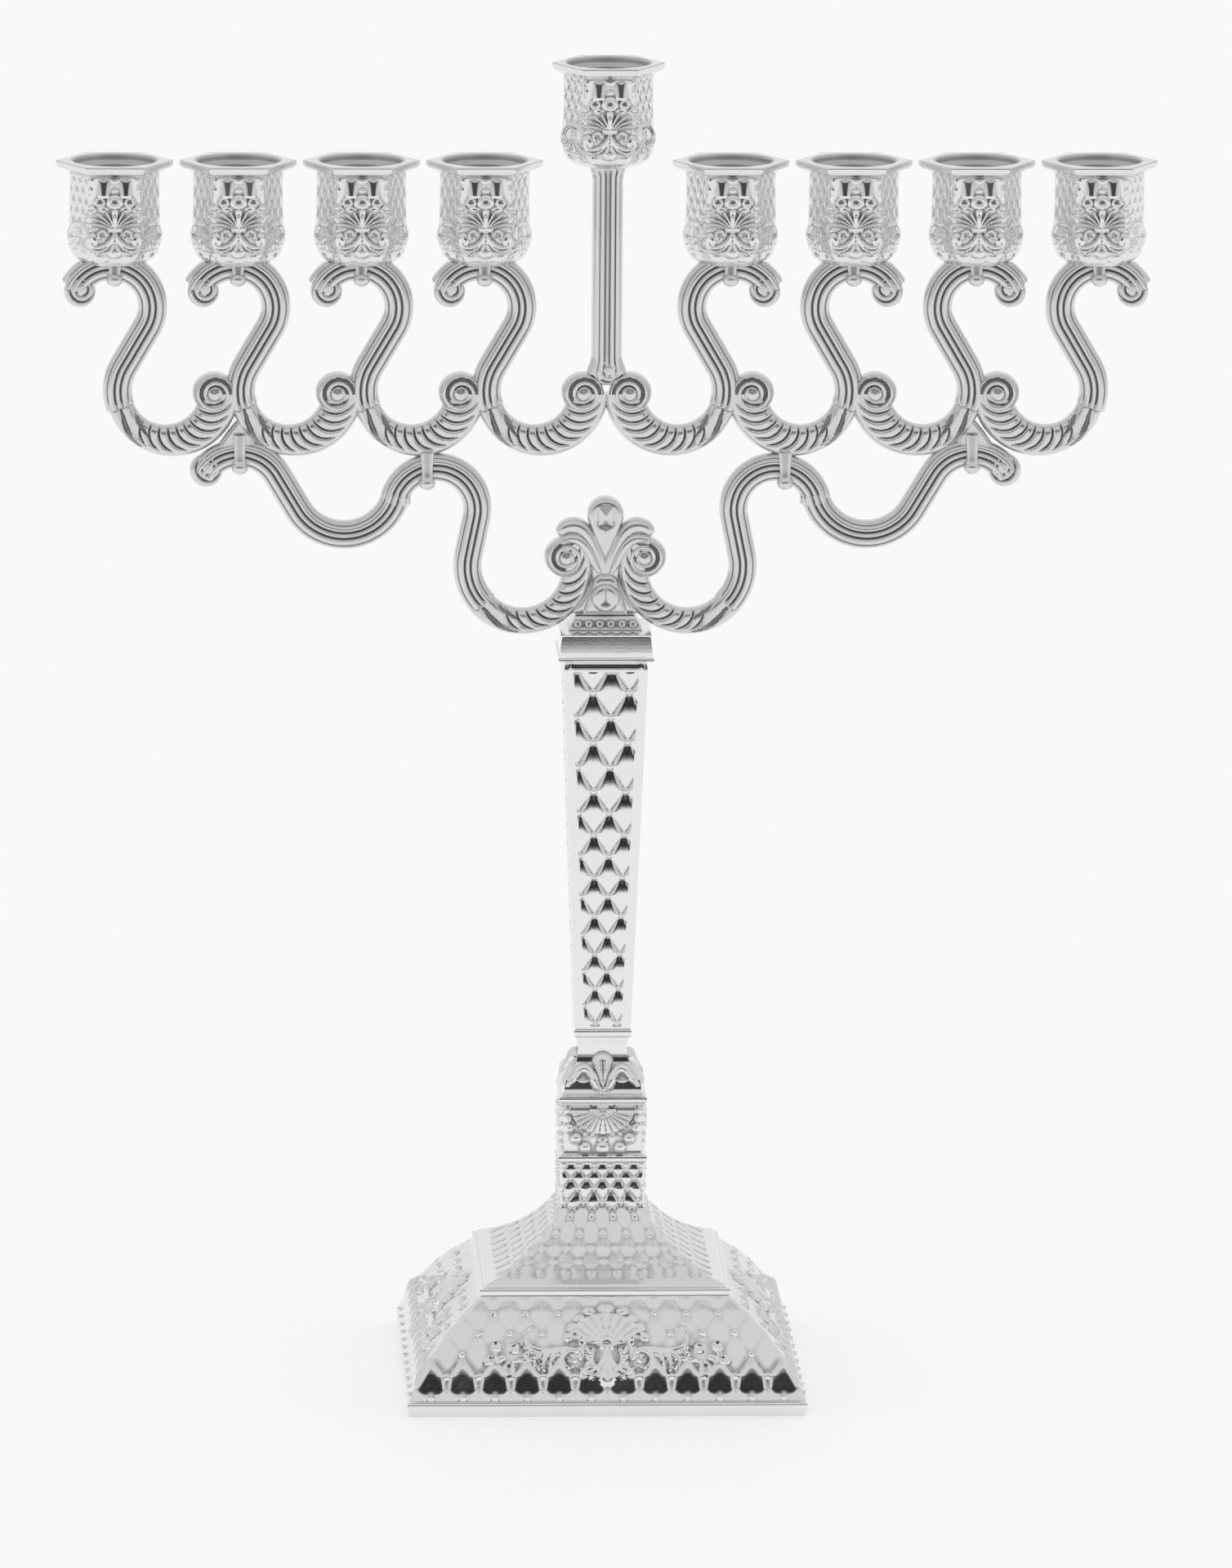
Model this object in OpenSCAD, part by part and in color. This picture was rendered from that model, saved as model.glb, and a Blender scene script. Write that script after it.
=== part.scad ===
// Nine-light menorah: a stack of square castings on a central tie rod, carrying two tiers of
// scrolled arms and nine hexagonal candle cups.  Millimetres, +Z up, origin at the middle of the base.

/* [Overall] */
// Height from the table to the rim of the middle cup
overall_h = 356; // [354:0.5:358]
// Distance from one candle axis to the next along the row
candle_pitch = 32.65; // [32.6:0.05:32.8]
// Height of the rims of the eight outer cups
row_rim_z = 329.8; // [329:0.1:330]
// Thickness of the flat arm castings, front to back
arm_t = 6.4; // [6:0.1:7]
// Width of a fluted arm
arm_w = 7.8; // [7.4:0.1:8]

/* [Base] */
// Side of the square plinth
plinth_side = 106.6; // [100:0.2:112]
// Height of the plinth band
plinth_h = 3.9; // [3:0.1:5]
// Side of the ledge that carries the upper tier
ledge_side = 67; // [64:0.5:70]
// Height at which the ledge starts
ledge_z = 28.3; // [26:0.1:30]
// Height of the ledge's upright lip
lip_h = 1.8; // [1:0.1:2.5]
// Side of the neck on top of the upper tier
neck_side = 22.8; // [21:0.1:24]
// Wall of the hollow castings
wall = 2.2; // [1.5:0.1:3]

/* [Column] */
// Side of the column at its foot
column_foot_side = 14.6; // [14:0.1:17]
// Side of the column under the cap
column_top_side = 22.6; // [21:0.1:24]
// Depth of the sunk panel on each face
panel_depth = 0.9; // [0.4:0.1:1.2]
// Side of the cap's lower lip
cap_side = 25.6; // [25:0.1:27]

/* [Cups] */
// Corner radius of the hexagonal rims of the row
rim_r = 15.5; // [15:0.1:16]
// Corner radius of the middle cup's rim
shamash_rim_r = 14.9; // [14.5:0.1:15.5]
// Radius of the candle socket
socket_r = 9.75; // [9:0.05:9.9]
// Radius of the shallow recess round the socket's mouth
mouth_r = 11; // [10.5:0.1:11.5]
// Depth of that recess
mouth_d = 2.2; // [1:0.1:3]

/* [Hidden] */
$fn = 64;
gap = 0.05;            // assembly gap between castings that touch
far = 400;             // longer than any cut
cup_h = 27.3;          // underside to rim
cup_floor = 3.4;
side_cups = 4;         // cups on each side of the middle
seat_z = row_rim_z - cup_h;
rod_r = 2.5;
rod_bore_r = rod_r + 0.2;
screw_r = 1.45;
screw_head_r = 2.7;
screw_sink = 2;        // depth of the counterbore below a cup's floor
clip_w = 2.9;          // width of a clip's bar
clip_t = 1.4;          // thickness of a clip's bar
clip_bar = 1.05;       // height of the part that passes under an arm
clip_drop = 6;         // how far a cup's clip hangs below the cup
through = 20;          // thicker than any of the flat castings

// Heights of the stack above the base
ledge_top = ledge_z + lip_h;
neck_z = 47;
block_z = 59.6;
band = 2.2;            // flat bands under and over the shell block
pedestal_z = 76;
column_z = 93;
cap_z = 196.4;
cap_top = 203.8;

// The candle arm, measured from its cup's axis
arch = [-0.9, seat_z - 12];    // centre of the hook under the cup
arch_r = 11;
arch_end = 145;                // degrees round from the inner side
curl = [-8.4, seat_z - 7.5];   // round end of the hook
curl_r = 4.4;
bend_r = 13;                   // the reverse bend below the hook
bend = [13.75, seat_z - 34.5];
leaf_start = 12;               // degrees the bend runs on before the leaf
leaf = [15.5, bend.y];         // centre of the leaf's outer edge
leaf_r = 17.8;
leaf_in = [13.5, bend.y - 0.4]; // centre of the leaf's inner edge
leaf_in_r = 9;
volute = [26.5, bend.y - 0.7];
volute_r = 5.5;

// The lower arms, measured from the middle of the stand
lower_leaf = [22, 220.6];
lower_leaf_r = 18.6;
lower_leaf_in_r = 10.4;
lower_leaf_drop = 1.2;         // how far the inner edge's centre lies below the outer one's
lower_w = 7.6;                 // width of the lower arms
lower_leaf_start = -42;        // degrees: where the fluted arm turns into leaf
lower_volute = [10.4, 222.9];
lower_volute_r = 5.6;
lower_arch = [45.3, 236];
lower_arch_r = 11.2;
lower_arch_end = 13;
outer_u = [69.6, 243.2];       // centre of the outer arm's U
outer_u_r = 14.3;
outer_arch = [97.4, 239.6];
outer_arch_r = 11.4;
outer_arch_end = 38;
outer_curl = [106.3, 246.5];
tenon_r = 1.6;
web_corner = [88.5, 249];      // the plate between an outer arm and the two leaves above it
web_size = [17.5, 13];

// ---- helpers ----

// Points on an arc from a0 to a1 degrees
function arc(c, r, a0, a1, n = 12) =
    [for (i = [0:n]) let (a = a0 + (a1 - a0) * i / n) c + r * [cos(a), sin(a)]];

// A curve from p to q that bulges by s to the right of the way it runs
function bulge(p, q, s, n = 10) =
    let (d = q - p, side = [d.y, -d.x] / norm(d))
    [for (i = [0:n]) let (t = i / n) p + d * t + side * 4 * s * t * (1 - t)];

// A half outline, given as [half width, height] pairs, made symmetric
function both_sides(half) =
    concat(half, [for (i = [len(half) - 1:-1:0]) [-half[i].x, half[i].y]]);

// Where, seen from circle a, a straight line leaves it to pass to the far side of circle b
function cross_tangent(a, ra, b, rb, side) =
    let (d = b - a) atan2(d.y, d.x) + side * acos((ra + rb) / norm(d));

// A solid whose every level is a regular polygon with flats to the front and back
module prism_loft(half, sides) {
    intersection_for(i = [0:sides / 2 - 1])
        rotate([0, 0, i * 360 / sides])
            rotate([90, 0, 90])
                linear_extrude(height = far, center = true) polygon(both_sides(half));
}

// The same for a square, with its four corners cut flat
module cut_corner_loft(half, corner) {
    diagonal = [for (p = half) [max(0, p.x * 2 - corner) / sqrt(2), p.y]];
    intersection_for(i = [0:3])
        rotate([0, 0, i * 45])
            rotate([90, 0, 90])
                linear_extrude(height = far, center = true) polygon(both_sides(i % 2 == 0 ? half : diagonal));
}

// A flat casting: a front outline given the arms' thickness
module casting(t = arm_t) {
    rotate([90, 0, 0]) linear_extrude(height = t, center = true) children();
}

module disc(c, r) {
    translate(c) circle(r);
}

// A flat stretch of arm that follows an arc, and a straight one
module arm_arc(c, r, a0, a1, w = arm_w) {
    polygon(concat(arc(c, r + w / 2, a0, a1, 20), arc(c, r - w / 2, a1, a0, 20)));
}

module arm_line(p, q, w = arm_w) {
    n = [q.y - p.y, p.x - q.x] / norm(q - p) * w / 2;
    polygon([p + n, q + n, q - n, p - n]);
}

// The arms' rounded cross-section
module section(w, t) {
    polygon([for (a = [11.25:22.5:359]) let (c = cos(a), s = sin(a))
        [sign(c) * pow(abs(c), 0.8) * w / 2, sign(s) * pow(abs(s), 0.8) * t / 2]]);
}

// The same stretches with that section, drawn lying down
module round_arc(c, r, a0, a1, w = arm_w) {
    translate([c.x, c.y, 0]) rotate([0, 0, a0]) rotate_extrude(angle = a1 - a0)
        translate([r, 0]) section(w, arm_t);
}

// Reaches a little way into the arcs it joins
module round_line(p, q, w = arm_w) {
    reach = 0.5;
    slack = 0.04;
    translate([p.x, p.y, 0]) rotate([0, 0, atan2(q.y - p.y, q.x - p.x)]) rotate([90, 0, 90])
        translate([0, 0, -reach]) linear_extrude(height = norm(q - p) + 2 * reach)
            section(w - slack, arm_t - slack);
}

// Two discs, one on the other, that make a button with stepped edges
module button(c, r) {
    translate([c.x, c.y, 0]) {
        cylinder(h = arm_t - 1, r = r, center = true);
        cylinder(h = arm_t, r = r - 0.7, center = true);
    }
}

module stand_up() {
    rotate([90, 0, 0]) children();
}

// ---- base ----

plinth = plinth_side / 2;
ledge = ledge_side / 2;
neck = neck_side / 2;
rim_wall = 4;          // wall of the two base castings where they rest on something
lower_bulge = 2.2;     // the lower tier swells outwards
flare_bulge = -2.4;    // the upper tier sweeps inwards
pad_z = 0.2;           // the pad is set a little above the plinth's foot
pad_t = 1.6;

module base_lower_tier() {
    outer = concat(
        [[0, 0], [plinth - 0.6, 0], [plinth, plinth_h - 0.4], [plinth - 0.5, plinth_h]],
        bulge([plinth - 0.5, plinth_h], [ledge - 0.4, ledge_z], lower_bulge),
        [[0, ledge_z]]);
    inner = concat(
        [[0, -1], [plinth - rim_wall, -1]],
        bulge([plinth - rim_wall, plinth_h], [ledge - rim_wall, ledge_z - wall], lower_bulge),
        [[0, ledge_z - wall]]);
    color("silver") difference() {
        prism_loft(outer, 4);
        prism_loft(inner, 4);
        cylinder(h = far, r = rod_bore_r);
    }
}

module base_upper_tier() {
    outer = concat(
        [[0, ledge_z], [ledge, ledge_z], [ledge, ledge_top]],
        bulge([ledge - 1.5, ledge_top + 0.6], [neck, neck_z], flare_bulge),
        [[neck, block_z], [0, block_z]]);
    inner = concat(
        [[0, ledge_z - 1], [ledge - rim_wall + 1, ledge_z - 1]],
        bulge([ledge - rim_wall, ledge_z + 0.4], [neck - wall, neck_z - 1], flare_bulge - 0.2),
        [[neck - wall, block_z - wall], [0, block_z - wall]]);
    color("silver") difference() {
        prism_loft(outer, 4);
        prism_loft(inner, 4);
        cylinder(h = far, r = rod_bore_r);
    }
}

// The board that closes the underside, faced with felt
module base_pad() {
    side = 2 * (plinth - rim_wall - gap);
    color("dimgray") translate([-side / 2, -side / 2, pad_z]) cube([side, side, pad_t]);
}

// Radius of the hollow inside the shell block and the foot of the pedestal
core_r = 8;

module shell_block() {
    outer = [[0, block_z], [12.1, block_z], [12.3, block_z + 0.4], [12.3, block_z + band - 0.4],
             [11.3, block_z + band], [12.1, block_z + band + 2], [12.4, block_z + 8],
             [12.2, pedestal_z - 1.4], [11.4, pedestal_z], [0, pedestal_z]];
    color("silver") difference() {
        cut_corner_loft(outer, 4);
        translate([0, 0, block_z + wall]) cylinder(h = pedestal_z - block_z - 2 * wall, r = core_r);
        cylinder(h = far, r = rod_bore_r);
    }
}

module fleur_pedestal() {
    outer = concat(
        [[0, pedestal_z], [11.9, pedestal_z], [11.9, pedestal_z + band], [11.6, pedestal_z + 4]],
        bulge([11.6, pedestal_z + 4.4], [7.1, column_z - 2.4], 0.2, 5),
        [[7, column_z], [0, column_z]]);
    color("silver") difference() {
        cut_corner_loft(outer, 3);
        translate([0, 0, pedestal_z + wall]) cylinder(h = 9, r1 = core_r, r2 = core_r - 3);
        cylinder(h = far, r = rod_bore_r);
    }
}

// ---- column ----

function column_half(z) =
    (column_foot_side + (column_top_side - column_foot_side) * (z - column_z) / (cap_z - column_z)) / 2;

panel_border = 2.3;
foot_bead_top = column_z + 2.4;
column_wall = 2.6;

// One face's sunk panel, as a wedge that follows the taper
module panel_pocket() {
    z0 = column_z + 3.6;
    z1 = cap_z - 1.6;
    border = panel_border;
    lean = atan((column_half(z1) - column_half(z0)) / (z1 - z0));
    translate([0, -column_half(z0), z0]) rotate([lean, 0, 0]) rotate([90, 0, 0])
        translate([0, 0, -panel_depth]) linear_extrude(height = 3)
            polygon([[-column_half(z0) + border, 0], [column_half(z0) - border, 0],
                     [column_half(z1) - border, z1 - z0], [-column_half(z1) + border, z1 - z0]]);
}

module column_tube() {
    foot = column_foot_side / 2;
    outer = [[0, column_z], [foot - 0.3, column_z], [foot + 0.3, column_z + 0.6],
             [foot + 0.3, column_z + 1.8], [column_half(foot_bead_top), foot_bead_top],
              [column_half(cap_z), cap_z], [0, cap_z]];
    inner = [[0, column_z + 3], [column_half(column_z) - column_wall, column_z + 3],
             [column_half(cap_z) - column_wall, cap_z - 3], [0, cap_z - 3]];
    difference() {
        prism_loft(outer, 4);
        prism_loft(inner, 4);
        for (i = [0:3]) rotate([0, 0, i * 90]) panel_pocket();
        cylinder(h = far, r = rod_bore_r);
    }
}

module column_shell(front) {
    y = front ? -far : gap / 2;
    color("silver") intersection() {
        column_tube();
        translate([-far / 2, y, 0]) cube([far, far - gap / 2, far]);
    }
}

// The key under the bracket that drops into the cap and stops it turning
key_w = 10;
key_d = 8;
key_h = 2.5;

module column_cap() {
    lip = cap_side / 2;
    outer = [[0, cap_z], [lip - 0.9, cap_z], [lip, cap_z + 0.6], [lip, cap_z + 1.1], [lip - 0.7, cap_z + 2],
             [lip - 0.95, cap_z + 4], [lip - 0.75, cap_z + 6], [lip - 0.5, cap_top - 0.5],
             [lip - 0.9, cap_top], [0, cap_top]];
    color("silver") difference() {
        prism_loft(outer, 4);
        cylinder(h = far, r = rod_bore_r);
        translate([-key_w / 2 - gap, -key_d / 2 - gap, cap_top - key_h])
            cube([key_w + 2 * gap, key_d + 2 * gap, 5]);
    }
}

// ---- tie rod ----

rod_bottom = 17;
rod_top = 211;
washer_h = 1.2;
washer_r = 7;
nut_h = 4;
nut_af = 8;            // across the nut's flats

module tie_rod() {
    color("gray") translate([0, 0, rod_bottom]) cylinder(h = rod_top - rod_bottom, r = rod_r);
}

module tie_rod_washer() {
    color("gray") translate([0, 0, ledge_z - wall - washer_h]) difference() {
        cylinder(h = washer_h, r = washer_r);
        translate([0, 0, -1]) cylinder(h = washer_h + 2, r = rod_bore_r);
    }
}

module tie_rod_nut() {
    color("gray") translate([0, 0, ledge_z - wall - washer_h - nut_h]) difference() {
        cylinder(h = nut_h, r = nut_af / 2 / cos(30), $fn = 6);
        translate([0, 0, -1]) cylinder(h = nut_h + 2, r = rod_r + gap);
    }
}

// ---- bracket and lower arms ----

ball_z = 212.5;
ball_r = 4.1;
ball_d = 12;
bud_z = 234.4;
bud_r = 4.8;
pin_z = ball_z + 4;
foot_top = cap_top + 3.6;      // top of the bracket's beaded foot
foot_w = 19.6;                 // width of that foot at the bottom and at the top
foot_top_w = 15.8;
foot_d = 11;
petal_r = 4.8;
petal = [8.9, 228];
foot_outline = [[-foot_w / 2, cap_top], [foot_w / 2, cap_top],
                [foot_top_w / 2, foot_top], [-foot_top_w / 2, foot_top]];

// Petals, bud and stalk, cut clear of the two lower arms
module bracket_outline() {
    difference() {
        union() {
            polygon(foot_outline);
            polygon([[6.6, foot_top - 1], [4.8, ball_z], [4.2, 226],
                     [-4.2, 226], [-4.8, ball_z], [-6.6, foot_top - 1]]);
            disc([0, bud_z], bud_r);
            polygon([[-bud_r + 0.02, bud_z], [bud_r - 0.02, bud_z], [3.6, 221], [-3.6, 221]]);
            for (s = [-1, 1]) {
                disc([s * petal.x, petal.y], petal_r);
                polygon([[0, 224], [s * 9, 224], [s * 10, 232.4], [s * 4, 233.2], [0, 232]]);
            }
        }
        for (s = [-1, 1]) {
            disc([s * lower_volute.x, lower_volute.y], lower_volute_r + gap);
            intersection() {
                disc([s * lower_leaf.x, lower_leaf.y], lower_leaf_r + gap);
                translate([-far / 2, foot_top]) square([far, lower_leaf.y + 1 - foot_top]);
            }
        }
    }
}

module fleur_bracket() {
    color("silver") difference() {
        union() {
            casting() bracket_outline();
            casting(foot_d) polygon(foot_outline);
            casting(8.6) polygon([[-6.4, foot_top], [6.4, foot_top], [3.2, ball_z + 1], [-3.2, ball_z + 1]]);
            stand_up() translate([0, ball_z, 0]) cylinder(h = ball_d, r = ball_r, center = true);
            translate([-key_w / 2, -key_d / 2, cap_top - key_h]) cube([key_w, key_d, key_h + 0.5]);
        }
        translate([0, 0, cap_top - 3]) cylinder(h = rod_top - cap_top + 3.2, r = rod_r + gap);
        rotate([0, 90, 0]) translate([-pin_z, 0, -20]) cylinder(h = 40, r = tenon_r + gap);
    }
}

module bracket_pin() {
    color("gray") rotate([0, 90, 0]) translate([-pin_z, 0, -8]) cylinder(h = 16, r = tenon_r);
}

// The middle of candle arm n's leaf, counted outwards from the middle
function leaf_centre(n) = [n * candle_pitch - leaf.x, leaf.y];

cuff = lower_arch + lower_arch_r * [cos(lower_arch_end), sin(lower_arch_end)];

// The dowel that joins an outer arm to an inner one
module cuff_dowel(r) {
    translate([cuff.x, 0, cuff.y]) rotate([0, -lower_arch_end, 0]) translate([0, 0, -3])
        cylinder(h = 7, r = r);
}

module lower_leaf_outline(inset = 0) {
    reach = lower_leaf_r * 2;
    start = lower_leaf_start + 3;
    difference() {
        disc(lower_leaf, lower_leaf_r - inset);
        disc(lower_leaf - [0, lower_leaf_drop], lower_leaf_in_r + inset);
        translate([-far, 0]) square([far + gap / 2, far]);
        polygon([lower_leaf, lower_leaf + reach * [cos(start), sin(start)],
                 lower_leaf + [reach * 2, 0], lower_leaf + [reach * 2, reach], lower_leaf + [-reach, reach],
                 lower_leaf + [-reach, 1.4], lower_leaf + [0, 1.4]]);
    }
}

// What the inner arm stays clear of: the bracket's foot and the leaves that stand on the arm
module inner_arm_cuts() {
    casting(through) {
        polygon([[0, cap_top - 1], [foot_w / 2 + 0.3 + gap, cap_top - 1],
                 [foot_top_w / 2 + 0.05 + gap, foot_top + gap], [0, foot_top + gap]]);
        for (n = [1, 2]) disc(leaf_centre(n), leaf_r + gap);
        translate([-far, 0]) square([far + gap / 2, far]);
    }
    cuff_dowel(tenon_r + gap);
    rotate([0, 90, 0]) translate([-pin_z, 0, 0]) cylinder(h = 8.1, r = tenon_r + gap);
}

module lower_arm_inner(side) {
    ring_r = (lower_leaf_r + lower_leaf_in_r) / 2 + 0.2;
    turn = cross_tangent(lower_arch, lower_arch_r, lower_leaf, ring_r, -1) + 360;
    hip = lower_arch + lower_arch_r * [cos(turn), sin(turn)];
    neck = lower_leaf - ring_r * [cos(turn), sin(turn)];
    color("silver") scale([side, 1, 1]) difference() {
        union() {
            stand_up() {
                round_arc(lower_arch, lower_arch_r, lower_arch_end, turn, lower_w);
                round_line(hip, neck, lower_w);
                round_arc(lower_leaf, ring_r, lower_leaf_start, turn - 180, lower_w);
                button(lower_volute, lower_volute_r);
            }
            casting(arm_t - 0.8) lower_leaf_outline();
            casting() lower_leaf_outline(0.9);
            casting(arm_t - 1)
                arm_arc(lower_arch, lower_arch_r, lower_arch_end - 1, lower_arch_end + 9, lower_w + 1.6);
        }
        inner_arm_cuts();
    }
}

module lower_arm_outer(side) {
    turn = cross_tangent(outer_arch, outer_arch_r, outer_u, outer_u_r, -1);
    color("silver") scale([side, 1, 1]) {
        difference() {
            union() {
                stand_up() {
                    round_arc(outer_u, outer_u_r, 194, turn + 180, lower_w);
                    round_line(outer_u - outer_u_r * [cos(turn), sin(turn)],
                               outer_arch + outer_arch_r * [cos(turn), sin(turn)], lower_w);
                    round_arc(outer_arch, outer_arch_r, outer_arch_end, turn, lower_w);
                    button(outer_curl, curl_r);
                }
                casting(arm_t - 2) translate(web_corner) square(web_size);
            }
            casting(through) {
                for (n = [3, 4]) disc(leaf_centre(n), leaf_r + gap);
                polygon([[cuff.x - 12, 262], cuff + [-12, -2.8], cuff + [12, 2.8], [cuff.x + 4.5, 262]]);
            }
        }
        cuff_dowel(tenon_r);
    }
}

// ---- candle arms ----

lean = -cross_tangent(arch, arch_r, bend, bend_r, 1);

module hook_outline(extra) {
    arm_arc(arch, arch_r, arch_end, -lean, arm_w + extra);
    arm_line(arch + arch_r * [cos(lean), -sin(lean)], bend + bend_r * [-cos(lean), sin(lean)], arm_w + extra);
    arm_arc(bend, bend_r, 180 - lean, 180 + leaf_start, arm_w + extra);
}

module hook() {
    round_arc(arch, arch_r, -lean, arch_end);
    round_line(arch + arch_r * [cos(lean), -sin(lean)], bend + bend_r * [-cos(lean), sin(lean)]);
    round_arc(bend, bend_r, 180 - lean, 180 + leaf_start);
}

module leaf_outline(extra) {
    difference() {
        intersection() {
            disc(leaf, leaf_r + extra);
            translate([-10, leaf.y - 30]) square([60, 30]);
        }
        disc(leaf_in, leaf_in_r - extra);
    }
}

// What candle arm n stays clear of: the cup, its clip and screw, and the next arm or the stem
module candle_arm_cuts(inmost) {
    casting(through) {
        translate([-far / 2, seat_z]) square([far, 20]);
        translate([-clip_w / 2 - gap, seat_z - clip_drop]) square([clip_w + 2 * gap, clip_bar + 3 * gap]);
        if (inmost) {
            translate([candle_pitch - gap / 2, 0]) square([far, far]);
            disc([candle_pitch, stem_scallop.y], stem_scallop_r + gap);
        } else {
            translate([candle_pitch, 0]) {
                hook_outline(2 * gap);
                leaf_outline(gap);
            }
        }
    }
    translate([0, 0, seat_z - 3.6]) cylinder(h = 5, r = screw_r + gap);
}

// Candle n is counted from the left; its arm hangs inwards from its cup
function cup_step(n) = n <= side_cups ? n - side_cups - 1 : n - side_cups;
function cup_x(n) = cup_step(n) * candle_pitch;
function cup_side(n) = n <= side_cups ? 1 : -1;

module candle_arm(n) {
    color("silver") translate([cup_x(n), 0, 0]) scale([cup_side(n), 1, 1]) difference() {
        union() {
            stand_up() {
                hook();
                button(curl, curl_r);
                button(volute, volute_r);
            }
            casting(arm_t - 0.8) leaf_outline(0);
            casting() leaf_outline(-0.9);
            casting(arm_t - 1) arm_arc(arch, arch_r, arch_end - 6, arch_end + 1, arm_w + 0.6);
        }
        candle_arm_cuts(abs(cup_step(n)) == 1);
    }
}

stem_scallop = [0, 272.9];
stem_scallop_r = 3.5;
stem_w = 8.2;
stem_foot_w = 10;
stem_foot_z = 274.2;
stem_flare_z = 279;
stem_flange_w = 9.4;
stem_flange_h = 1.6;

module shamash_stem() {
    top = overall_h - cup_h;
    color("silver") difference() {
        casting() difference() {
            union() {
                translate([-stem_w / 2, stem_foot_z - 0.2]) square([stem_w, top - stem_foot_z + 0.2]);
                polygon([[-stem_foot_w / 2, stem_foot_z], [stem_foot_w / 2, stem_foot_z],
                         [stem_w / 2, stem_flare_z], [-stem_w / 2, stem_flare_z]]);
                disc(stem_scallop, stem_scallop_r);
                translate([-stem_flange_w / 2, top - stem_flange_h]) square([stem_flange_w, stem_flange_h]);
            }
            for (s = [-1, 1]) disc([s * (candle_pitch - volute.x), volute.y], volute_r + gap);
        }
        translate([0, 0, top - 8]) cylinder(h = 9, r = screw_r + gap);
    }
}

// ---- cups, screws and clips ----

// The cup stands on z = 0 here
module cup(corner_r) {
    flat = cos(30);
    body = [[0, 0], [9.2, 0], [11.6, 2.2], [12.6, 5], [12.8, 7.2], [12.55, 10], [12.4, 18],
            [12.3, cup_h - 3.6]];
    rim = [[12.9, cup_h - 2.6], [corner_r - 0.6, cup_h - 1.7], [corner_r, cup_h - 1.3],
           [corner_r, cup_h - 0.2], [corner_r - 0.3, cup_h], [0, cup_h]];
    outer = [for (p = concat(body, rim)) [p.x * flat, p.y]];
    color("silver") difference() {
        prism_loft(outer, 6);
        translate([0, 0, cup_floor]) cylinder(h = far, r = socket_r);
        translate([0, 0, cup_h - mouth_d]) cylinder(h = far, r = mouth_r);
        translate([0, 0, cup_floor - screw_sink]) cylinder(h = 5, r = screw_head_r + 0.3);
        translate([0, 0, -1]) cylinder(h = 9, r = screw_r + 0.2);
    }
}

// The cup at place n of the row
module candle_cup(n) {
    translate([cup_x(n), 0, seat_z]) cup(rim_r);
}

// A pan-head screw whose head lies in the cup's counterbore
module screw(length) {
    color("gray") translate([0, 0, cup_floor - screw_sink]) {
        difference() {
            cylinder(h = 1.8, r = screw_head_r);
            translate([-0.4, -5, 1]) cube([0.8, 10, 2]);
        }
        translate([0, 0, -length]) cylinder(h = length, r = screw_r);
    }
}

// The screw that holds the cup at place n of the row
module cup_screw(n) {
    translate([cup_x(n), 0, seat_z]) screw(4.5);
}

// A U-shaped clip that passes under an arm, h tall, with a leg at the front and one at the back
module clip(h) {
    y = arm_t / 2 + gap;
    color("silver") {
        for (s = [-1, 1]) scale([1, s, 1]) {
            translate([-clip_w / 2, y, 0]) cube([clip_w, clip_t, h]);
        }
        translate([-clip_w / 2, -y - 0.1, 0]) cube([clip_w, 2 * y + 0.2, clip_bar]);
    }
}

module cup_clip(n) {
    translate([cup_x(n), 0, seat_z - clip_drop]) clip(clip_drop - gap);
}

outer_clip = [outer_arch.x, 245.9];
outer_clip_h = 10.4;
inner_clip = [47.6, 241.7];
inner_clip_h = 9.8;

// Clips 1 and 4 hold the outer lower arms, clips 2 and 3 the inner ones
module branch_clip(n) {
    side = n <= 2 ? -1 : 1;
    outer = n == 1 || n == 4;
    foot = outer ? outer_clip : inner_clip;
    translate([side * foot.x, 0, foot.y]) clip(outer ? outer_clip_h : inner_clip_h);
}

base_lower_tier();
base_upper_tier();
shell_block();
fleur_pedestal();
column_shell(true);  // column_front_shell
column_shell(false);  // column_rear_shell
column_cap();
tie_rod();
tie_rod_washer();
tie_rod_nut();
base_pad();
fleur_bracket();
bracket_pin();
lower_arm_inner(-1);  // lower_arm_inner_left
lower_arm_inner(1);  // lower_arm_inner_right
lower_arm_outer(-1);  // lower_arm_outer_left
lower_arm_outer(1);  // lower_arm_outer_right
shamash_stem();
translate([0, 0, overall_h - cup_h]) cup(shamash_rim_r);  // shamash_cup
translate([0, 0, overall_h - cup_h]) screw(8);  // shamash_screw
for (n = [1:4]) branch_clip(n);
for (n = [1:8]) candle_arm(n);
for (n = [1:8]) candle_cup(n);
for (n = [1:8]) cup_clip(n);
for (n = [1:8]) cup_screw(n);
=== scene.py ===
import math

import bpy
import numpy as np
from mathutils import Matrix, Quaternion, Vector


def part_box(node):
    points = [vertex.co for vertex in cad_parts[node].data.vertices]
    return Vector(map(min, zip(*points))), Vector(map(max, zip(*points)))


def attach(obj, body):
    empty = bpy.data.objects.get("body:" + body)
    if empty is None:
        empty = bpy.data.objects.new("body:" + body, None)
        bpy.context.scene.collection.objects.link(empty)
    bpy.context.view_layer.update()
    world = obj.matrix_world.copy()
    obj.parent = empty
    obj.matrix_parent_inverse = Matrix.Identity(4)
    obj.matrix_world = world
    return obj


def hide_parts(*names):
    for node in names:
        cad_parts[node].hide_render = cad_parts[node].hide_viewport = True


# The looks of a nine-light menorah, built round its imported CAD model. Shapes are worked out in
# millimetres, in the frame's own axes, and turned into metres when a mesh is made. A casting is a
# grid of points, and its relief is a height over flat coordinates.

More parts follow.
